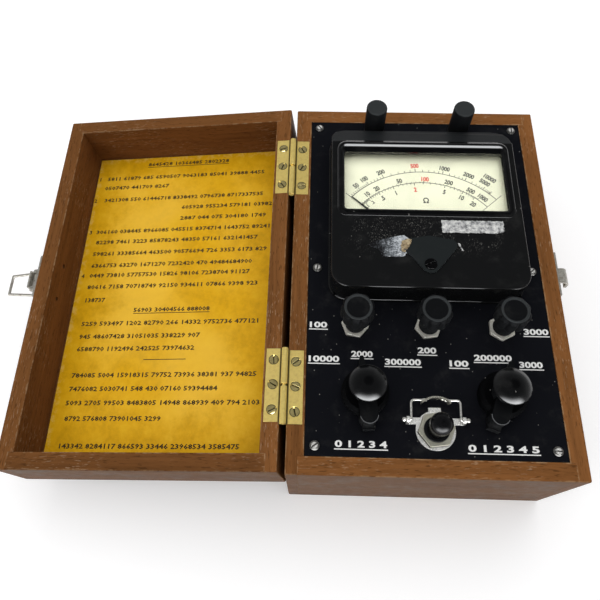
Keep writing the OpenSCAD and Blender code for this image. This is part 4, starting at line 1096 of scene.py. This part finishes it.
class OHMMETER_OT_panel(bpy.types.Operator):
    """Builds the control panel and its numerals"""

    bl_idname = "ohmmeter.panel"
    bl_label = "Panel"

    # Middle, width and numerals of each label, in millimetres
    LABELS = (
        (-65.7, -38.5, 10.5, "100"), (-1.4, -53.6, 11.0, "200"), (64.3, -40.4, 14.7, "3000"),
        (-62.2, -60.1, 18.0, "10000"), (-39.8, -56.7, 12.6, "2000"), (-15.9, -61.1, 21.0, "300000"),
        (-41.2, -109.5, 29.0, "0 1 2 3 4"), (16.8, -61.3, 11.0, "100"), (36.9, -57.4, 22.0, "200000"),
        (58.6, -61.2, 13.6, "3000"), (37.4, -110.2, 39.0, "0 1 2 3 4 5"),
    )

    def execute(self, context):
        bm = solid_of("panel")
        round_edges(bm, 0.35 * MM, 2, 60)
        piece("panel_sheet", bm, "panel", "case", ["panel"])
        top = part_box("panel")[1].z
        tall = settings().numeral
        print_mesh = bmesh.new()
        for x, y, wide, text in self.LABELS:
            spot = shift(x * MM, y * MM, top)
            add_text(print_mesh, text, tall, spot, PANEL_INK, 0.05, width=wide * MM)
            line = spot @ shift(0.0, -tall / 2 - 1.25 * MM, 0.0)
            add_bar(print_mesh, line, (wide + 0.8) * MM, 0.6 * MM, PANEL_INK)
        piece("panel_print", print_mesh, "white_ink", "case")
        return {"FINISHED"}


class OHMMETER_OT_meter(bpy.types.Operator):
    """Builds the meter's moulding, its rim, the zero adjuster and the torn papers"""

    bl_idname = "ohmmeter.meter"
    bl_label = "Meter"

    # Finish and outline of each torn paper, in millimetres
    PAPERS = (
        ("paper", ((8.3, 24.2), (46.1, 24.0), (46.2, 16.9), (41.5, 15.4), (8.6, 15.4))),
        ("flake", ((-37.1, 5.7), (-32.5, 8.9), (-18.5, 12.4), (-14.8, 13.0), (-10.5, 9.4), (-10.3, 6.6),
                   (-15.5, -1.7), (-28.0, -2.0), (-29.7, 2.4))),
        ("paper", ((17.4, 8.0), (18.5, 7.7), (19.3, 5.2), (20.4, 2.7), (19.2, 3.3), (18.1, 5.8))),
        ("tan_paper", ((-17.4, 3.5), (-16.6, 7.9), (-13.2, 9.8), (-10.6, 9.3), (-11.2, 6.3), (-13.4, 3.2),
                       (-14.9, 0.3), (-16.8, 1.0))),
    )

    def execute(self, context):
        low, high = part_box("zero_plate")
        face = low.z
        bm = solid_of("meter_case")
        everything = bm.verts[:] + bm.edges[:] + bm.faces[:]
        bmesh.ops.bisect_plane(bm, geom=everything, plane_co=(0.0, 0.0, face + 0.03 * MM), plane_no=UP,
                               clear_outer=True)
        round_edges(bm, 1.1 * MM, 3, 20, self.outside)
        front = piece("meter_front", bm, "scuffed", "case", ["meter_case"])
        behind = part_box("meter_glass")[1].y + 5.5 * MM
        # Painted sheen: the back slope takes a lighter black, for its reflection of the room behind.
        refinish(front, "hazy_black", lambda middle: middle.y > behind)
        self.rim(face)
        rounded("zero_shield", "zero_plate", "shield", "case", 0.35, 3)
        rounded("zero_slot", "zero_screw", BLACK, "zero_screw", 0.15)
        rng = random.Random(9)
        for number, (finish, outline) in enumerate(self.PAPERS):
            bm = bmesh.new()
            torn = self.torn(outline, rng)
            above = high.z + 0.02 * MM if finish == "tan_paper" else face
            add_prism(bm, torn, shift(0.0, 0.0, above), (0.09 + 0.04 * number) * MM)
            piece(f"torn_paper_{number + 1}", bm, finish, "case")
        return {"FINISHED"}

    @staticmethod
    def outside(edge):
        """Chooses the edges of the meter's outer skin, away from the window."""
        front, back = (corner.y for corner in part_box("meter_glass"))
        middle = (edge.verts[0].co + edge.verts[1].co) / 2
        low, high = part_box("meter_case")
        wall = 3.2 * MM
        aside = abs(middle.x) > high.x - 14 * MM or not front - 8 * MM <= middle.y <= back
        inner = abs(middle.x) < high.x - wall and low.y + wall < middle.y < high.y - wall
        return aside and middle.z > low.z + 1 * MM and not (inner and middle.z < high.z - 5 * MM)

    @staticmethod
    def hump(share):
        """Returns the rim's rise across its sides: quick inside, then a gentle fall."""
        if share < 0.4:
            return settings().bezel_rise * math.sin(math.pi / 2 * share / 0.4) ** 0.7
        return settings().bezel_rise * (1 - ((share - 0.4) / 0.6) ** 2)

    @staticmethod
    def crest(share):
        """Returns the rim's rise across its back: a ledge, then a round crest above it."""
        if share < 0.4:
            return settings().bezel_rise * (0.04 + 0.25 * share)
        if share < 0.62:
            return settings().bezel_rise * (0.57 - 0.43 * math.cos(math.pi * (share - 0.4) / 0.22))
        return settings().bezel_rise * (1 - ((share - 0.62) / 0.38) ** 2)

    def rim(self, face):
        """Makes the smooth rim round the window, wider at the back."""
        low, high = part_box("meter_glass")
        centre = ((low + high) / 2).xy
        hidden = 4.8 * MM
        width = high.x - low.x - hidden
        length = high.y - low.y - hidden
        near, far = centre + mm(0.0, -0.7), centre + mm(0.0, 1.3)
        inner = [p + near for p in rounded_outline(width, length - 1.4 * MM, 2.0 * MM)]
        outer = [p + far for p in rounded_outline(width + 9.6 * MM, length + 12.2 * MM, 6.0 * MM)]
        bm = bmesh.new()
        rings = [[bm.verts.new((*p, high.z)) for p in inner]]
        steps = 40
        for k in range(steps + 1):
            share = k / steps
            ring = []
            for a, b in zip(inner, outer):
                away = (b - a).normalized()
                back, front = max(0.0, away.y) ** 2, max(0.0, -away.y) ** 2
                rise = self.crest(share) * back + self.hump(share) * (0.7 - 0.4 * front) * (1 - back)
                level = face - 0.2 * MM if k == steps else face + rise
                ring.append(bm.verts.new((*a.lerp(b, share), level)))
            rings.append(ring)
        add_skin(bm, rings)
        outward(bm)
        if sum(f.normal.z for f in bm.faces) < 0:
            bmesh.ops.reverse_faces(bm, faces=bm.faces)
        piece("meter_rim", bm, BLACK, "case", smooth=60)

    @staticmethod
    def torn(outline, rng):
        """Returns an outline with a torn, uneven edge."""
        pitch, ragged = 0.7, 0.28
        points = []
        for start, end in zip(outline, outline[1:] + outline[:1]):
            steps = max(2, round(math.dist(start, end) / pitch))
            for k in range(steps):
                at = [a + (b - a) * k / steps + rng.uniform(-ragged, ragged) for a, b in zip(start, end)]
                points.append((at[0] * MM, at[1] * MM))
        area = sum(a[0] * b[1] - b[0] * a[1] for a, b in zip(points, points[1:] + points[:1]))
        return points if area > 0 else points[::-1]


class OHMMETER_OT_dial(bpy.types.Operator):
    """Builds the dial's three scales, its glass and the needle"""

    bl_idname = "ohmmeter.dial"
    bl_label = "Dial"

    HALF = math.radians(48)
    # Radii of the two arcs, in millimetres
    OUTER, INNER = 62.0, 53.6
    # Radius, middle value, length of the marks, numbers with their radius and turn, and the red number
    SCALES = (
        (OUTER, 590.0, 2.6,
         ((50, 66.4, 0), (100, 67.2, 0), (200, 66.9, 0), (500, 66.9, 0), (1000, 66.6, 0.6),
          (2000, 67.0, 0.6), (5000, 67.6, -1.6), (10000, 72.4, -5.6)), 500),
        (INNER, 97.0, 1.2,
         ((10, 56.9, 0), (20, 56.9, 0), (50, 56.7, 0), (100, 56.4, 1), (200, 56.7, 0.6), (500, 56.8, 0),
          (1000, 56.9, 1.9)), 100),
        (INNER, 2.56, -1.9,
         ((0.1, 50.2, -1.4), (0.2, 49.9, 0.4), (0.5, 48.7, 0), (1, 48.6, 0), (2, 48.4, 0), (5, 48.6, 0.6),
          (10, 48.9, 1.2), (20, 48.9, 2.2)), 2),
    )

    def execute(self, context):
        pivot = joint_place("needle_pivot")
        pivot.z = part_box("dial_plate")[1].z
        centre = shift(*pivot)
        plate = round_edges(solid_of("dial_plate"), 0.1 * MM, 1, 60)
        piece("dial_sheet", plate, "dial", "case", ["dial_plate"])
        black, red = bmesh.new(), bmesh.new()
        for radius, middle, reach, labels, marked in self.SCALES:
            self.marks(pivot, radius, middle, reach, [label[0] for label in labels])
            for value, away, turn in labels:
                angle = (2 * value / (value + middle) - 1) * self.HALF + math.radians(turn)
                place = centre @ Matrix.Rotation(-angle, 4, "Z") @ shift(0.0, away * MM, 0.02 * MM)
                text = f"{value:g}".replace("0.", ".")
                tall = (2.3 if value < 0.4 else 3.1) * MM
                add_text(red if value == marked else black, text, tall, place, DIAL_INK, 0.05, 0.8)
        for radius in (self.OUTER, self.INNER):
            self.arc(black, centre, radius * MM, 0.42 * MM)
        for side in (-1, 1):
            end = centre @ Matrix.Rotation(-side * self.HALF, 4, "Z")
            add_bar(black, end @ shift(0.0, 57.4 * MM, 0.0), 0.32 * MM, 18.8 * MM, DIAL_INK)
        add_text(black, "Ω", 3.6 * MM, centre @ shift(*mm(1.4, 39.9, 0.02)), DIAL_INK, 0.03)
        piece("dial_print", black, "black_ink", "case")
        piece("dial_print_red", red, "red_ink", "case")
        rounded("window_glass", "meter_glass", "glass", "case", 0.12)
        rounded("needle_blade", "needle", "matte_black", "needle", 0.04)
        return {"FINISHED"}

    def marks(self, pivot, radius, middle, reach, labelled):
        """Adds a scale's marks: long ones at its numbers, short ones between."""
        values, reaches, widths = [0.0], [reach], [0.42]
        between = 5
        for low, high in zip([0.0] + labelled, labelled):
            for k in range(1, between + 1):
                values.append(low + (high - low) * k / between)
                reaches.append(reach if k == between else reach * 0.66)
                widths.append(0.42 if k == between else 0.34)
        points = points_object(f"dial_marks_{middle:g}".replace(".", "_"), [(0.0, 0.0, 0.0)] * len(values),
                               value=values, reach=[r * MM for r in reaches], width=[w * MM for w in widths])
        use_tree(points, tick_tree(), Centre=pivot + mm(0.0, 0.0, 0.02), Radius=radius * MM,
                 Middle_Value=middle, Half_Angle=self.HALF, Thickness=0.04 * MM,
                 Material=material("black_ink"))
        settle(points, "case")

    def arc(self, bm, centre, radius, thick):
        """Adds a thin curved line about the pivot."""
        steps = 64
        outer, inner = [], []
        for i in range(steps + 1):
            a = self.HALF * (2 * i / steps - 1)
            away = Vector((math.sin(a), math.cos(a)))
            outer.append(away * (radius + thick / 2))
            inner.append(away * (radius - thick / 2))
        add_prism(bm, inner + outer[::-1], centre, DIAL_INK)


class OHMMETER_OT_terminals(bpy.types.Operator):
    """Builds the two clamp terminals"""

    bl_idname = "ohmmeter.terminals"
    bl_label = "Terminals"

    def execute(self, context):
        rounded("terminal_posts", "terminal_studs", "matte_black", "case", 0.2)
        for side in ("left", "right"):
            node = f"terminal_head_{side}"
            cap = rounded(f"terminal_cap_{side}", node, "flat_black", f"terminal_{side}", 0.9, 3)
            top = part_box(node)[1].z
            refinish(cap, "rubbed", lambda middle: middle.z > top - 0.6 * MM)
        return {"FINISHED"}


class OHMMETER_OT_knobs(bpy.types.Operator):
    """Builds the lobed adjusters and the two switch knobs, with their nuts"""

    bl_idname = "ohmmeter.knobs"
    bl_label = "Knobs"

    # An adjuster's head: radius, depth below the top and share of the ribs, in millimetres
    HEAD = (
        (6.0, 12.4, 0.0), (6.6, 12.0, 0.0), (8.8, 11.8, 0.9), (9.5, 11.3, 1.0), (9.8, 10.4, 1.0),
        (9.8, 3.2, 1.0), (9.6, 2.3, 1.0), (9.1, 1.6, 0.8), (8.5, 1.2, 0.3), (8.2, 0.8, 0.0), (8.0, 0.3, 0.0),
        (7.6, 0.0, 0.0), (7.0, 0.1, 0.0), (6.5, 0.6, 0.0), (6.0, 0.9, 0.0), (0.0, 1.0, 0.0),
    )

    def execute(self, context):
        for side in ("low", "mid", "high"):
            self.adjuster(side)
        for name in ("function", "range"):
            grip = rounded(f"{name}_grip", f"{name}_knob", BLACK, f"{name}_switch", 0.4, 3)
            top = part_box(f"{name}_knob")[1].z
            refinish(grip, "flat_black", lambda middle: middle.z < top - 9 * MM)
            axis = joint_place(f"{name}_turn")
            self.painted_shade(grip, axis, top)
            self.edge(f"{name}_edge", f"{name}_switch", grip, axis, top)
            dress("nickel", f"{name}_shaft")
        rounded("hexagon_nuts", "control_nuts", "bright", "case", 0.2)
        return {"FINISHED"}

    @staticmethod
    def painted_shade(grip, axis, top):
        """Paints shade on a switch knob's round skirt, which lies under its dome."""
        def inside(at):
            return at.z < top - 17.6 * MM and (at - axis).xy.length < 13.6 * MM

        refinish(grip, "deep_black", inside)

    @staticmethod
    def edge(name, body, grip, axis, top):
        """Makes a thin light bead round the end of a thumb bar's top: a painted highlight on its edge."""
        level = top - 13 * MM
        half, length = 4.9 * MM, 20 * MM
        far = [v.co for v in grip.data.vertices if abs(v.co.z - level) < 0.3 * MM]
        far = [(at - axis).xy for at in far if (at - axis).xy.length > length - 0.6 * MM]
        along = sum(far, Vector((0.0, 0.0))).normalized()
        turn = Matrix.Rotation(math.atan2(along.y, along.x), 4, "Z")
        place = shift(axis.x, axis.y, level - 0.1 * MM) @ turn
        turns = [math.radians(-80 + 160 * k / 24) for k in range(25)]
        path = [Vector((length - half + half * math.cos(a), half * math.sin(a))) for a in turns]
        bm = bmesh.new()
        add_rod(bm, [(at, 0.24 * MM) for at in path], place, 8)
        piece(name, outward(bm), "worn_edge", body)

    def adjuster(self, side):
        """Makes a lobed knob: a narrow neck, a ribbed head and a bead round its sunk top."""
        low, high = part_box(f"adjuster_knob_{side}")
        shaft_low, shaft_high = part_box(f"adjuster_shaft_{side}")
        middle = (shaft_low + shaft_high) / 2
        bore = (shaft_high.x - shaft_low.x) / 2 + 0.05 * MM
        rise = high.z - low.z
        inside = rise - 3.0 * MM
        outline = [(0.0, inside, 0.0), (bore, inside, 0.0), (bore, 0.0, 0.0), (5.7 * MM, 0.0, 0.0),
                   (6.0 * MM, 0.4 * MM, 0.0)]
        outline += [(r * MM, rise - deep * MM, share) for r, deep, share in self.HEAD]
        bm = bmesh.new()
        place = shift(middle.x, middle.y, low.z)
        add_lathe(bm, outline, place, segments=216, lobes=9, depth=1.3 * MM)
        knob = [f"adjuster_knob_{side}"]
        made = piece(f"adjuster_grip_{side}", outward(bm), "flat_black", f"adjuster_{side}", knob, 50)
        spot = Vector((middle.x, middle.y, high.z))

        # The bead is lighter: partly rubbed wear, partly a painted highlight on its round top.
        def bead(at):
            return at.z > high.z - 0.7 * MM and 5.9 * MM < (at - spot).length < 8.1 * MM

        refinish(made, "rubbed", bead)
        dress("nickel", f"adjuster_shaft_{side}")


class OHMMETER_OT_button(bpy.types.Operator):
    """Builds the push button with its nut, ears, bail and saddle"""

    bl_idname = "ohmmeter.button"
    bl_label = "Push Button"

    def execute(self, context):
        rounded("button_dome", "button_cap", "button_black", "button", 0.3)
        rounded("button_collar", "button_body", "matte_black", "case", 0.2)
        ring = rounded("button_ring", "button_nut", "nut", "case", 0.25)
        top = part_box("button_nut")[1].z
        # Painted shade: the nut's sides below its top take a dark metal, for the shadow line round it.
        refinish(ring, "tarnish", lambda middle: middle.z < top - 0.8 * MM)
        rounded("button_washer", "bail_plate", "washer", "case", 0.12)
        self.wire()
        rounded("bail_guard", "bail_saddle", "saddle", "bail", 0.1)
        coil = piece("button_coil", solid_of("button_spring"), "nickel", "case", ["button_spring"], 60)
        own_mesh(coil)
        return {"FINISHED"}

    def wire(self):
        """Makes the bail's two wires: a ball, round bends, and a thicker end in the saddle."""
        low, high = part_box("bail")
        pivot = joint_place("bail_swing")
        place = shift((low.x + high.x) / 2, pivot.y, pivot.z) @ Matrix.Rotation(math.radians(8), 4, "X")
        round_end = 1.3 * MM
        stub = (high.x - low.x) / 2 - round_end
        arm, bar, inner = 13.8 * MM, 11.0 * MM, 5.0 * MM
        thin, thick = 0.62 * MM, 0.84 * MM
        bm = bmesh.new()
        for sign in (-1, 1):
            ends = [Vector(p) for p in ((stub, 0.0), (arm, 0.0), (arm, bar), (inner, bar))]
            path = [(ends[0], thin)]
            for before, corner, after, bend in zip(ends, ends[1:], ends[2:], (0.9 * MM, 2.2 * MM)):
                start = corner + (before - corner).normalized() * bend
                end = corner + (after - corner).normalized() * bend
                for k in range(9):
                    share = k / 8
                    path.append((start.lerp(corner, share).lerp(corner.lerp(end, share), share), thin))
            for x, radius in ((7.4 * MM, thin), (7.1 * MM, thick), (inner + 0.2 * MM, thick), (inner, thin)):
                path.append((Vector((x, bar)), radius))
            add_rod(bm, [(Vector((sign * at.x, at.y)), radius) for at, radius in path], place)
            ball = place @ shift(sign * stub, 0.0, 0.0)
            bmesh.ops.create_uvsphere(bm, u_segments=24, v_segments=16, radius=round_end, matrix=ball)
        piece("bail_wire", outward(bm), "chrome", "bail", ["bail"], 60)


class OHMMETER_OT_inside(bpy.types.Operator):
    """Gives the pieces inside the case their materials"""

    bl_idname = "ohmmeter.inside"
    bl_label = "Inner Pieces"

    def execute(self, context):
        dress(BLACK, "meter_back")
        dress("nickel", "meter_magnet", "stud_nuts", "hairspring")
        dress("brass", "movement_frame")
        dress("copper", "moving_coil")
        dress("phenolic", "adjuster_bodies", "switch_bodies")
        dress("sleeve", "cell_unit")
        return {"FINISHED"}


class OHMMETER_OT_stage(bpy.types.Operator):
    """Builds the white floor, the lamps, the surroundings and the camera"""

    bl_idname = "ohmmeter.stage"
    bl_label = "Stage"

    def execute(self, context):
        scene = context.scene
        self.floor()
        self.world(scene)
        self.lamp("Sky Panel", (0.05, 0.35, 1.25), size=1.3, power=9.0)
        self.lamp("Side Panel", (-0.9, -0.5, 0.9), size=0.8, power=4.0)
        data = bpy.data.cameras.new("Camera")
        # Lens, place and direction are solved from the photograph's corners
        data.lens, data.sensor_width, data.sensor_fit = 36.29, 36.0, "HORIZONTAL"
        data.clip_start, data.clip_end = 0.01, 20.0
        camera = link("Camera", data)
        camera.location = mm(-69.7, -177.2, 424.1)
        camera.rotation_euler = [math.radians(a) for a in (24.61, 0.58, 1.55)]
        scene.camera = camera
        scene.view_settings.view_transform = "Standard"
        return {"FINISHED"}

    @staticmethod
    def floor():
        """Makes a pale floor that the camera sees as white where no shadow falls."""
        bm = bmesh.new()
        bmesh.ops.create_grid(bm, x_segments=1, y_segments=1, size=6.0)
        made, t = new_material("Floor")
        shader = t.surface(Base_Color=(0.86, 0.86, 0.86), Roughness=0.9, Specular_IOR_Level=0.0)
        ray = t.add("ShaderNodeLightPath").outputs
        seen = t.math("MAXIMUM", ray["Is Glossy Ray"], ray["Is Transmission Ray"])
        seen = t.math("MAXIMUM", ray["Is Camera Ray"], seen)
        glow = t.add("ShaderNodeEmission", Color=(1.0, 1.0, 1.0), Strength=seen * 0.26)
        both = t.add("ShaderNodeAddShader", shader, glow)
        t.put(made.node_tree.nodes["Material Output"].inputs["Surface"], both)
        obj = new_object("Floor", bm, made)
        obj.location.z = -0.2 * MM

    @staticmethod
    def world(scene):
        """Makes soft white surroundings; shiny surfaces see a bright front and a dim room above."""
        world = bpy.data.worlds.new("Studio")
        world.use_nodes = True
        world.node_tree.nodes.clear()
        t = Tree(world.node_tree)
        ray = t.add("ShaderNodeLightPath").outputs
        _, back, up = t.parts(t.add("ShaderNodeTexCoord").outputs["Generated"])
        sky = t.ramp(up, (0.0, (0.5, 0.5, 0.51)), (0.35, (0.62, 0.62, 0.63)), (1.0, (0.58, 0.58, 0.59)))
        room = t.ramp(up, (0.0, (0.45, 0.45, 0.46)), (0.22, (0.26, 0.265, 0.27)),
                      (0.5, (0.12, 0.122, 0.125)), (0.8, (0.065, 0.066, 0.068)))
        front = t.step(back * -1.0, 0.5, 0.86) * t.step(up, 0.02, 0.12) * (1.0 - t.step(up, 0.28, 0.78))
        room = t.mix(front, room, (13.0, 13.2, 13.4))
        soft = t.add("ShaderNodeBackground", sky, 0.85)
        mirrored = t.add("ShaderNodeBackground", room, 1.0)
        white = t.add("ShaderNodeBackground", (1.0, 1.0, 1.0), 1.0)
        shiny = t.math("SUBTRACT", 1.0, ray["Is Transmission Ray"]) * ray["Is Glossy Ray"]
        mixed = t.add("ShaderNodeMixShader", shiny, soft, mirrored)
        mixed = t.add("ShaderNodeMixShader", ray["Is Camera Ray"], mixed, white)
        t.add("ShaderNodeOutputWorld", mixed)
        scene.world = world

    @staticmethod
    def lamp(name, place, size, power):
        """Adds a soft lamp that faces the object and isn't mirrored in it."""
        data = bpy.data.lights.new(name, "AREA")
        data.shape, data.size = "SQUARE", size
        data.energy = power
        obj = link(name, data)
        obj.location = place
        obj.rotation_euler = (mm(-50, 0, 50) - Vector(place)).to_track_quat("-Z", "Y").to_euler()
        obj.visible_glossy = False


STEPS = (
    OHMMETER_OT_case, OHMMETER_OT_card, OHMMETER_OT_hardware, OHMMETER_OT_screws, OHMMETER_OT_panel,
    OHMMETER_OT_meter, OHMMETER_OT_dial, OHMMETER_OT_terminals, OHMMETER_OT_knobs, OHMMETER_OT_button,
    OHMMETER_OT_inside, OHMMETER_OT_stage,
)


class OHMMETER_PT_panel(bpy.types.Panel):
    """Sizes, colours and steps of the ohmmeter"""

    bl_idname = "OHMMETER_PT_panel"
    bl_label = "Ohmmeter"
    bl_space_type = "VIEW_3D"
    bl_region_type = "UI"
    bl_category = "Ohmmeter"

    def draw(self, context):
        for name in OhmmeterSettings.__annotations__:
            self.layout.prop(context.scene.ohmmeter, name)
        for step in STEPS:
            self.layout.operator(step.bl_idname)


CLASSES = (OhmmeterSettings, *STEPS, OHMMETER_PT_panel)


def register():
    """Registers the classes and the scene's settings."""
    for cls in CLASSES:
        bpy.utils.register_class(cls)
    bpy.types.Scene.ohmmeter = bpy.props.PointerProperty(type=OhmmeterSettings)


def unregister():
    """Removes what register added."""
    del bpy.types.Scene.ohmmeter
    for cls in reversed(CLASSES):
        bpy.utils.unregister_class(cls)


def main():
    """Builds every piece."""
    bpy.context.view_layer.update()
    register()
    bpy.ops.ohmmeter.case()
    bpy.ops.ohmmeter.card()
    bpy.ops.ohmmeter.hardware()
    bpy.ops.ohmmeter.screws()
    bpy.ops.ohmmeter.panel()
    bpy.ops.ohmmeter.meter()
    bpy.ops.ohmmeter.dial()
    bpy.ops.ohmmeter.terminals()
    bpy.ops.ohmmeter.knobs()
    bpy.ops.ohmmeter.button()
    bpy.ops.ohmmeter.inside()
    bpy.ops.ohmmeter.stage()


if __name__ == "__main__":
    main()
